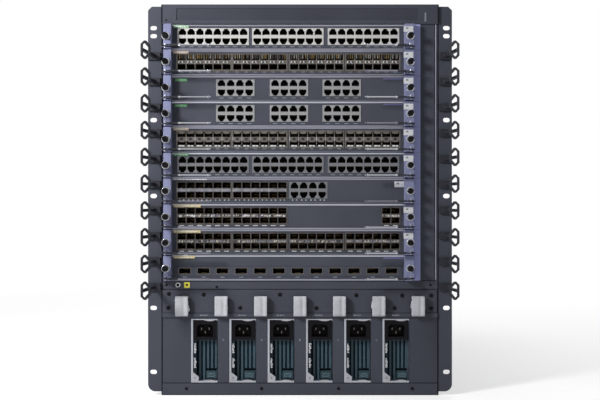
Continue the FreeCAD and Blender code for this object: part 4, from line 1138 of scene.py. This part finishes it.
def makeSupply(index):
    node = supplyNames[index]
    x0, _, z0, x1, y1, z1 = nodeBox(node)
    y0 = frontY
    look = dict(lipSide=3.2, lipTop=1.8, lipLow=2.6, skin=0.9, mouth=22.0, inlet=31.4, spring=(20, 19, 2.0, 0.7, 0.6),
                bracket=((-2.4, -2.0), (8.4, -1.2), (9.2, 6.4), (1.0, 13), (-2.4, 14)), bracketThick=(0.1, 1.2),
                hole=((1.2, 4.6), (2.6, 2.8), (4.6, 3.8), (4.0, 6.2), (2.2, 6.8)), edgeIn=3)
    # 0 case, 1 dark inside, 2 springs of the lips and corner bracket, 3 hole of the bracket
    bm = bmesh.new()
    mouth = rect(x0 + look["lipSide"], z0 + look["lipLow"], x1 - look["skin"], z1 - look["lipTop"], 0.8)
    addPanel(bm, rect(x0, z0, x1, z1), [mouth], y0, y1, y0 + look["mouth"], 0.3, 0, 0, 1)
    start, long, bow, power, seat = look["spring"]
    start += x0
    for z, d in ((z1 - look["lipTop"] + 0.2, -1), (z0 + look["lipLow"] - 0.2, 1)):
        curve = [(start + long * k / 8, z + d * bow * math.sin(math.pi * k / 8) ** power) for k in range(9)]
        addPrism(bm, [*curve, (start + long, z - d * seat), (start, z - d * seat)], "y", y0 - 0.05, y0 + 0.5, 2)
    cx, cz = x0 + look["lipSide"], z0 + look["lipLow"]
    proud, deep = look["bracketThick"]
    addPrism(bm, [(cx + a, cz + b) for a, b in look["bracket"]], "y", y0 - proud, y0 + deep, 2)
    addPrism(bm, [(cx + a, cz + b) for a, b in look["hole"]], "y", y0 - proud * 2, y0 - proud, 3)
    addBox(bm, x1 - look["skin"] - 0.15, y0 - 0.15, z0 + look["edgeIn"], x1 - 0.05, y0 + 0.1, z1 - look["edgeIn"], 1)
    makePiece(f"{node}_case", bm, node, ["supplySteel", "supplyDark", "bracketSteel", "markDim"], 0.2,
              [node])

    left, right = x0 + look["lipSide"] + 0.1, x1 - look["skin"] - 0.1
    high = z1 - look["lipTop"] - 0.1
    low = high - look["inlet"]
    makeInlet(node, x0, left, right, low, high, y0 + look["mouth"])
    makeGrille(node, index, x0, left, right, z0 + look["lipLow"] + 0.1, low - 0.1, y0 + look["mouth"])


def makeInlet(node, x0, left, right, low, high, back):
    # 0 block, 1 recess, 2 three blades
    look = dict(middle=(22.1, 14.5), half=(12.8, 9.8), corner=4.0, front=0.6, depth=18.6, bladeFront=6.1,
                bladeHalf=(1, 2), blades=((-6.2, 2.2), (6.2, 2.2), (0.0, -3.4)))
    ix, iz = x0 + look["middle"][0], low + look["middle"][1]
    (w, h), c = look["half"], look["corner"]
    recess = [(ix - w, iz - h), (ix + w, iz - h), (ix + w, iz + h - c), (ix + w - c, iz + h), (ix - w + c, iz + h),
              (ix - w, iz + h - c)]
    bm = bmesh.new()
    floor = frontY + look["depth"]
    addPanel(bm, rect(left, low, right, high, 1.0), [recess], frontY + look["front"], back, floor, 0.5, 0, 1)
    w, h = look["bladeHalf"]
    for a, d in look["blades"]:
        addBox(bm, ix + a - w, frontY + look["bladeFront"], iz + d - h, ix + a + w, floor, iz + d + h, 2)
    makePiece(f"{node}_inlet", bm, node, ["inletBlack", "inletBlack", "bladeDull"], 0.3)


def makeGrille(node, index, x0, left, right, bottom, roof, back):
    # 0 ribs, 1 dark behind them, 2 marks on the tall block at their left
    look = dict(plate=3.0, ribs=5, ribStart=11.4, ribPitch=6.35, ribWide=3.7, ribDeep=9, latchWide=17.9, latchHigh=18.1,
                head=(3, 8.2, 2.6, 0.6), block=(0.8, 5.2, 1.7, 11.3), labels=(54.4, 77.7), dashes=7, dashPitch=2.25,
                dashStart=(1.0, 0.6), dashLong=(2.0, 2.0), dashHigh=(1.35, 0.5), dashThick=0.2)
    y = back - look["plate"]
    top = nodeBox(node)[5]
    bm = bmesh.new()
    addBox(bm, left, y, bottom, right, back - 0.1, roof, 1)
    for i in range(look["ribs"]):
        x = x0 + look["ribStart"] + i * look["ribPitch"]
        foot = bottom if x + look["ribWide"] < right - look["latchWide"] else bottom + look["latchHigh"]
        addBox(bm, x, y - look["ribDeep"], foot, x + look["ribWide"], y, roof, 0)
    over, deep, tall, gap = look["head"]
    addBox(bm, x0 + look["ribStart"] - over, y - deep, roof - tall, right - gap, y, roof, 0)
    a, b, front, up = look["block"]
    addBox(bm, left + a, frontY + front, bottom + up, left + b, y, roof, 1)
    pick = random.Random(60 + index)
    for drop in look["labels"]:
        for k in range(look["dashes"]):
            z = top - drop + k * look["dashPitch"]
            base, vary = look["dashStart"]
            start = left + base + pick.random() * vary
            end, tall = [low + pick.random() * more for low, more in (look["dashLong"], look["dashHigh"])]
            addBox(bm, start, frontY + front - look["dashThick"], z, start + end, frontY + front, z + tall, 2)
    makePiece(f"{node}_grille", bm, node, ["supplyTeal", "supplyDark", "markWhite"], 0.25)


def makeLatch(index):
    # push-up block with grip ridges on its front
    look = dict(slope=(4, 0.9, 3.1), foot=(0.8, 1.6), ridges=3, ridgeStart=2.2, ridgePitch=2.4,
                ridge=(2, 8.5, 1.5, 1.0), ridgeDepth=(0.1, 1.2))
    node = f"psu_latch_{index + 1}"
    x0, y0, z0, x1, y1, z1 = nodeBox(node)
    back, front, drop = look["slope"]
    lift, soft = look["foot"]
    bm = bmesh.new()
    addPrism(bm, [(y1, z0), (y1, z1), (y0 + back, z1), (y0 + front, z1 - drop), (y0 + front, z0 + lift),
                  (y0 + soft, z0)], "x", x0, x1, 0)
    side, peak, rise, thick = look["ridge"]
    near, far = [y0 + d for d in look["ridgeDepth"]]
    for k in range(look["ridges"]):
        z = z0 + look["ridgeStart"] + k * look["ridgePitch"]
        addPrism(bm, [(x0 + side, z), (x0 + peak, z + rise), (x1 - side, z), (x1 - side, z + thick),
                      (x0 + peak, z + rise + thick), (x0 + side, z + thick)], "y", near, far, 1)
    makePiece(f"{node}_button", bm, node, ["latchTeal", "supplyLight"], 0.4, [node])


for index in range(len(supplyNames)):
    makeSupply(index)
    makeLatch(index)
print("power supplies made")

# woven straps that hold the mains leads, each closed to a loop
strap = dict(count=7, pitch=62.2, width=20.0, thick=1.5, height=32.0, depth=9.6, low=126.2, back=-323.3,
             cuts=16, steps=6, fold=1.1, foldWide=0.13, valley=(0.14, 0.26), drift=(-0.06, 0.06), curl=0.5,
             waves=((0.24, 46, 1), (0.16, 83, 2)), tails=(0, 5, 6),
             tail=((-0.6, 0), (1.8, 1.0), (2.4, 3.5), (1.0, 12), (-0.6, 13.5)), tailDepth=(1.2, 2.6))


def smoothLoop(line, steps):
    # closed curve through the points
    fine = []
    for i in range(len(line)):
        p0, p1, p2, p3 = (Vector(line[(i + k) % len(line)]) for k in (-1, 0, 1, 2))
        for u in (step / steps for step in range(steps)):
            fine.append(0.5 * ((2 * p1) + (p2 - p0) * u + (2 * p0 - 5 * p1 + 4 * p2 - p3) * u * u
                               + (3 * p1 - p0 - 3 * p2 + p3) * u ** 3))
    return fine


def makeStrap(index):
    x = (index - (strap["count"] - 1) / 2) * strap["pitch"]
    low, back, deep, high, t = strap["low"], strap["back"], strap["depth"], strap["height"], strap["thick"] / 2
    pick = random.Random(7 + index)
    valley, drift = pick.uniform(*strap["valley"]), pick.uniform(*strap["drift"])
    # middle of the band, seen from the side: up the back, over the staple, down the front
    top, near, middle = low + high, back - deep + t, back - deep / 2
    fine = smoothLoop([(back - t, low + 6), (back - t - 0.1, low + 14), (back - t + 0.1, low + 22),
                       (back - t - 0.2, top - 5), (back - 1.6, top - 1.7), (middle, top - 0.8), (near + 0.9, top - 1.7),
                       (near + 0.1, top - 4.5), (near, low + 24), (near + 0.1, low + 18), (near, low + 12),
                       (near, low + 5), (near + 0.9, low + 1.8), (middle, low + 0.8), (back - 1.8, low + 2.0)],
                      strap["steps"])
    shares = [k / strap["cuts"] - 0.5 for k in range(strap["cuts"] + 1)]
    around = [(share, 1) for share in shares] + [(share, -1) for share in reversed(shares)]
    bm = bmesh.new()
    rows = []
    for i, p in enumerate(fine):
        run = (fine[(i + 1) % len(fine)] - fine[i - 1]).normalized()
        out = Vector((run.y, -run.x)) * -1
        front = max(0.0, min(1.0, (near + 2.2 - p.x) / 2.0))   # only the front run folds inwards
        height = (p.y - low) / high
        crease = sum(size * math.sin(height * often + shift * index) for size, often, shift in strap["waves"])
        row = []
        for share, side in around:
            dip = strap["fold"] * math.exp(-((share - valley - drift * height) / strap["foldWide"]) ** 2)
            dip += strap["curl"] * max(0, share - 0.3)
            edge = 0.5 if abs(share) > 0.49 else 1.0
            q = p + out * (side * t * edge) + Vector((front * (dip + crease * (0.4 + abs(share))), 0))
            row.append(bm.verts.new((x + share * strap["width"], q.x, q.y)))
        rows.append(row)
    for a, b in zip(rows, rows[1:] + rows[:1]):
        bridge(bm, a, b)
    if index in strap["tails"]:
        # free end of the band, beside the loop
        s, lift = (1, 7) if index == 0 else (-1, 12)
        edge = x + s * strap["width"] / 2
        shape = [(edge + s * a, low + lift + b) for a, b in strap["tail"]]
        addPrism(bm, shape, "y", *[near + d for d in strap["tailDepth"]])
    return makePiece(f"strap_{index + 1}", bm, "chassis", ["webbing"])


straps = [makeStrap(index) for index in range(strap["count"])]
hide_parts("cord_straps")
print("straps made")

# fan trays at the back; depths are from the back of the tub
fan = dict(pitch=184.0, radius=71.0, size=150.0, corner=6, depth=60.0, duct=38.0, inset=12.0, sheet=1.5, hub=30.0,
           screw=(10, 75, 4.2), arm=(20, 2, 1, 0.5, 3.5, 3), motor=4, gap=4.3, tip=6, blades=7, steps=6, clear=2.5,
           angle=(52, 20), sweep=0.10, chord=(26, 5), wires=(18, 30, 42, 54, 66), wire=0.9, wireOut=3.4, bar=1.0,
           barOut=4.8, barAt=(16, 40, 60, 76), foot=(4, 3.2, 2, 4.2, 5), grip=(90.0, 24.0, 16.0), gripBar=3.4,
           gripWall=3.6, gripFoot=(6, 5, 2, 3.4, 4.2))
bladeSection = ((-0.5, 0.15), (-0.25, 0.9), (0.0, 1.1), (0.25, 0.8), (0.5, 0.12), (0.25, -0.8), (0.0, -1.1),
                (-0.25, -0.9))
fanMiddles = (-fan["pitch"] / 2, fan["pitch"] / 2)


def makeTrayPlate(node, z):
    # 0 plate, 1 walls of the tray, 2 screws, 3 their cross recesses in painted shade
    x0, _, z0, x1, _, z1 = nodeBox(node)
    inset, deep, sheet = fan["inset"], backY - fan["depth"], fan["sheet"]
    holes = [circle(x, z, fan["radius"], 48) for x in fanMiddles]
    bm = bmesh.new()
    addPanel(bm, rect(x0, z0, x1, z1, 3), holes, backY + 2, backY, rim=0.4)
    for s in (-1, 1):
        x = s * ((x1 - x0) / 2 - inset)
        a, b = sorted((x, x - s * sheet))
        addBox(bm, a, deep, z0 + inset, b, backY, z1 - inset, 1)
    low = z - fan["size"] / 2
    addBox(bm, x0 + inset, deep, low - sheet, x1 - inset, backY, low, 1)
    side, up, radius = fan["screw"]
    for x in (x0 + side, x1 - side):
        for dz in (-up, up):
            addScrew(bm, x, backY + 2, z + dz, radius, 1, 2, 3)
    makePiece(f"{node}_plate", bm, node, ["chassisPaint", "frameSteel", "brightSteel", "blackPartsAndShade"],
              0.3, [node])


def makeHousings(node, z):
    half, hub, base = fan["size"] / 2, fan["hub"], backY - fan["duct"]
    turned, into, over, front, back, wide = fan["arm"]
    bm = bmesh.new()
    for x in fanMiddles:
        addPanel(bm, rect(x - half, z - half, x + half, z + half, fan["corner"]), [circle(x, z, fan["radius"], 48)],
                 backY - 0.2, base, rim=0.6)
        for turn in (0, 90, 180, 270):
            arm = Matrix.Translation((x, 0, z)) @ Matrix.Rotation(math.radians(turn + turned), 4, "Y")
            addBox(bm, hub - into, base + front, -wide, fan["radius"] + over, base + back, wide, 0, arm)
        addTurned(bm, [(0, base), (hub, base), (hub, base + fan["motor"]), (0, base + fan["motor"])], x, z, 32, 0)
    makePiece(f"{node}_housings", bm, node, ["fanPlastic"], 0.3)


def makeRotors(node, z):
    # hub with a dished middle, and pitched blades that widen and flatten towards their tips
    hub, base, tip = fan["hub"], backY - fan["duct"] + fan["gap"], backY - fan["tip"]
    steep, ease = fan["angle"]
    root, wider = fan["chord"]
    bm = bmesh.new()
    for x in fanMiddles:
        addTurned(bm, [(0, base), (hub, base), (hub, tip - 3), (hub - 3, tip), (8, tip), (7, tip - 0.6, 1),
                       (0, tip - 0.6, 1)], x, z, 40, 0)
        for b in range(fan["blades"]):
            rows = []
            for share in (k / fan["steps"] for k in range(fan["steps"] + 1)):
                r = hub - 1 + (fan["radius"] - fan["clear"] - hub) * share
                pitch, chord = math.radians(steep - ease * share), root + wider * share
                row = []
                for u, thick in bladeSection:
                    along, off = u * chord, thick * 0.8
                    arc = (along * math.cos(pitch) - off * math.sin(pitch)) / r
                    arc += 2 * math.pi * b / fan["blades"] + fan["sweep"] * share
                    deep = along * math.sin(pitch) * 0.8 + off * math.cos(pitch)
                    row.append((x + r * math.sin(arc), (base + tip) / 2 + deep * 0.9, z + r * math.cos(arc)))
                rows.append(row)
            addLoops(bm, rows, 0)
    makePiece(f"{node}_rotors", bm, node, ["fanPlastic", "blackPartsAndShade"])


def makeGuards(node, z):
    # rings of wire on crossed bars, held by four round feet
    outer, rim, seat, edge, top = fan["foot"]
    bm = bmesh.new()
    for x in fanMiddles:
        for r in fan["wires"]:
            addTube(bm, [(a, backY + fan["wireOut"], b) for a, b in circle(x, z, r, 40)], fan["wire"], 8, True)
        for turn in (45, 135, 225, 315):
            c, s = math.cos(math.radians(turn)), math.sin(math.radians(turn))
            addTube(bm, [(x + r * c, backY + fan["barOut"], z + r * s) for r in fan["barAt"]], fan["bar"], 8)
            addTurned(bm, [(0, backY + seat), (outer, backY + seat), (outer, backY + edge), (rim, backY + top),
                           (0, backY + top)], x + fan["barAt"][-1] * c, z + fan["barAt"][-1] * s, 20, 0)
    makePiece(f"{node}_guards", bm, node, ["brightSteel"])


def makeHandle(node):
    # bar bent to a shallow bow, with a round flange at each end
    wide, reach, drop = fan["grip"]
    half, out, gz = wide / 2 - 2, reach - fan["gripWall"], nodeBox(node)[5] - drop
    side = [(half, 1), (half, out - 10), (half - 1.4, out - 4), (half - 4.6, out - 0.8), (half - 10, out)]
    line = [(-a, backY + b, gz) for a, b in side] + [(a, backY + b, gz) for a, b in reversed(side)]
    outer, rim, seat, edge, top = fan["gripFoot"]
    bm = bmesh.new()
    addTube(bm, line, fan["gripBar"], 16)
    for s in (-1, 1):
        addTurned(bm, [(0, backY + seat), (outer, backY + seat), (outer, backY + edge), (rim, backY + top),
                       (0, backY + top)], s * half, gz, 24, 0)
    makePiece(f"{node}_handle", bm, node, ["brightSteel"])


for node in trayNames:
    middle = (nodeBox(node)[2] + nodeBox(node)[5]) / 2
    makeTrayPlate(node, middle)
    makeHousings(node, middle)
    makeRotors(node, middle)
    makeGuards(node, middle)
    makeHandle(node)
print("fan trays made")
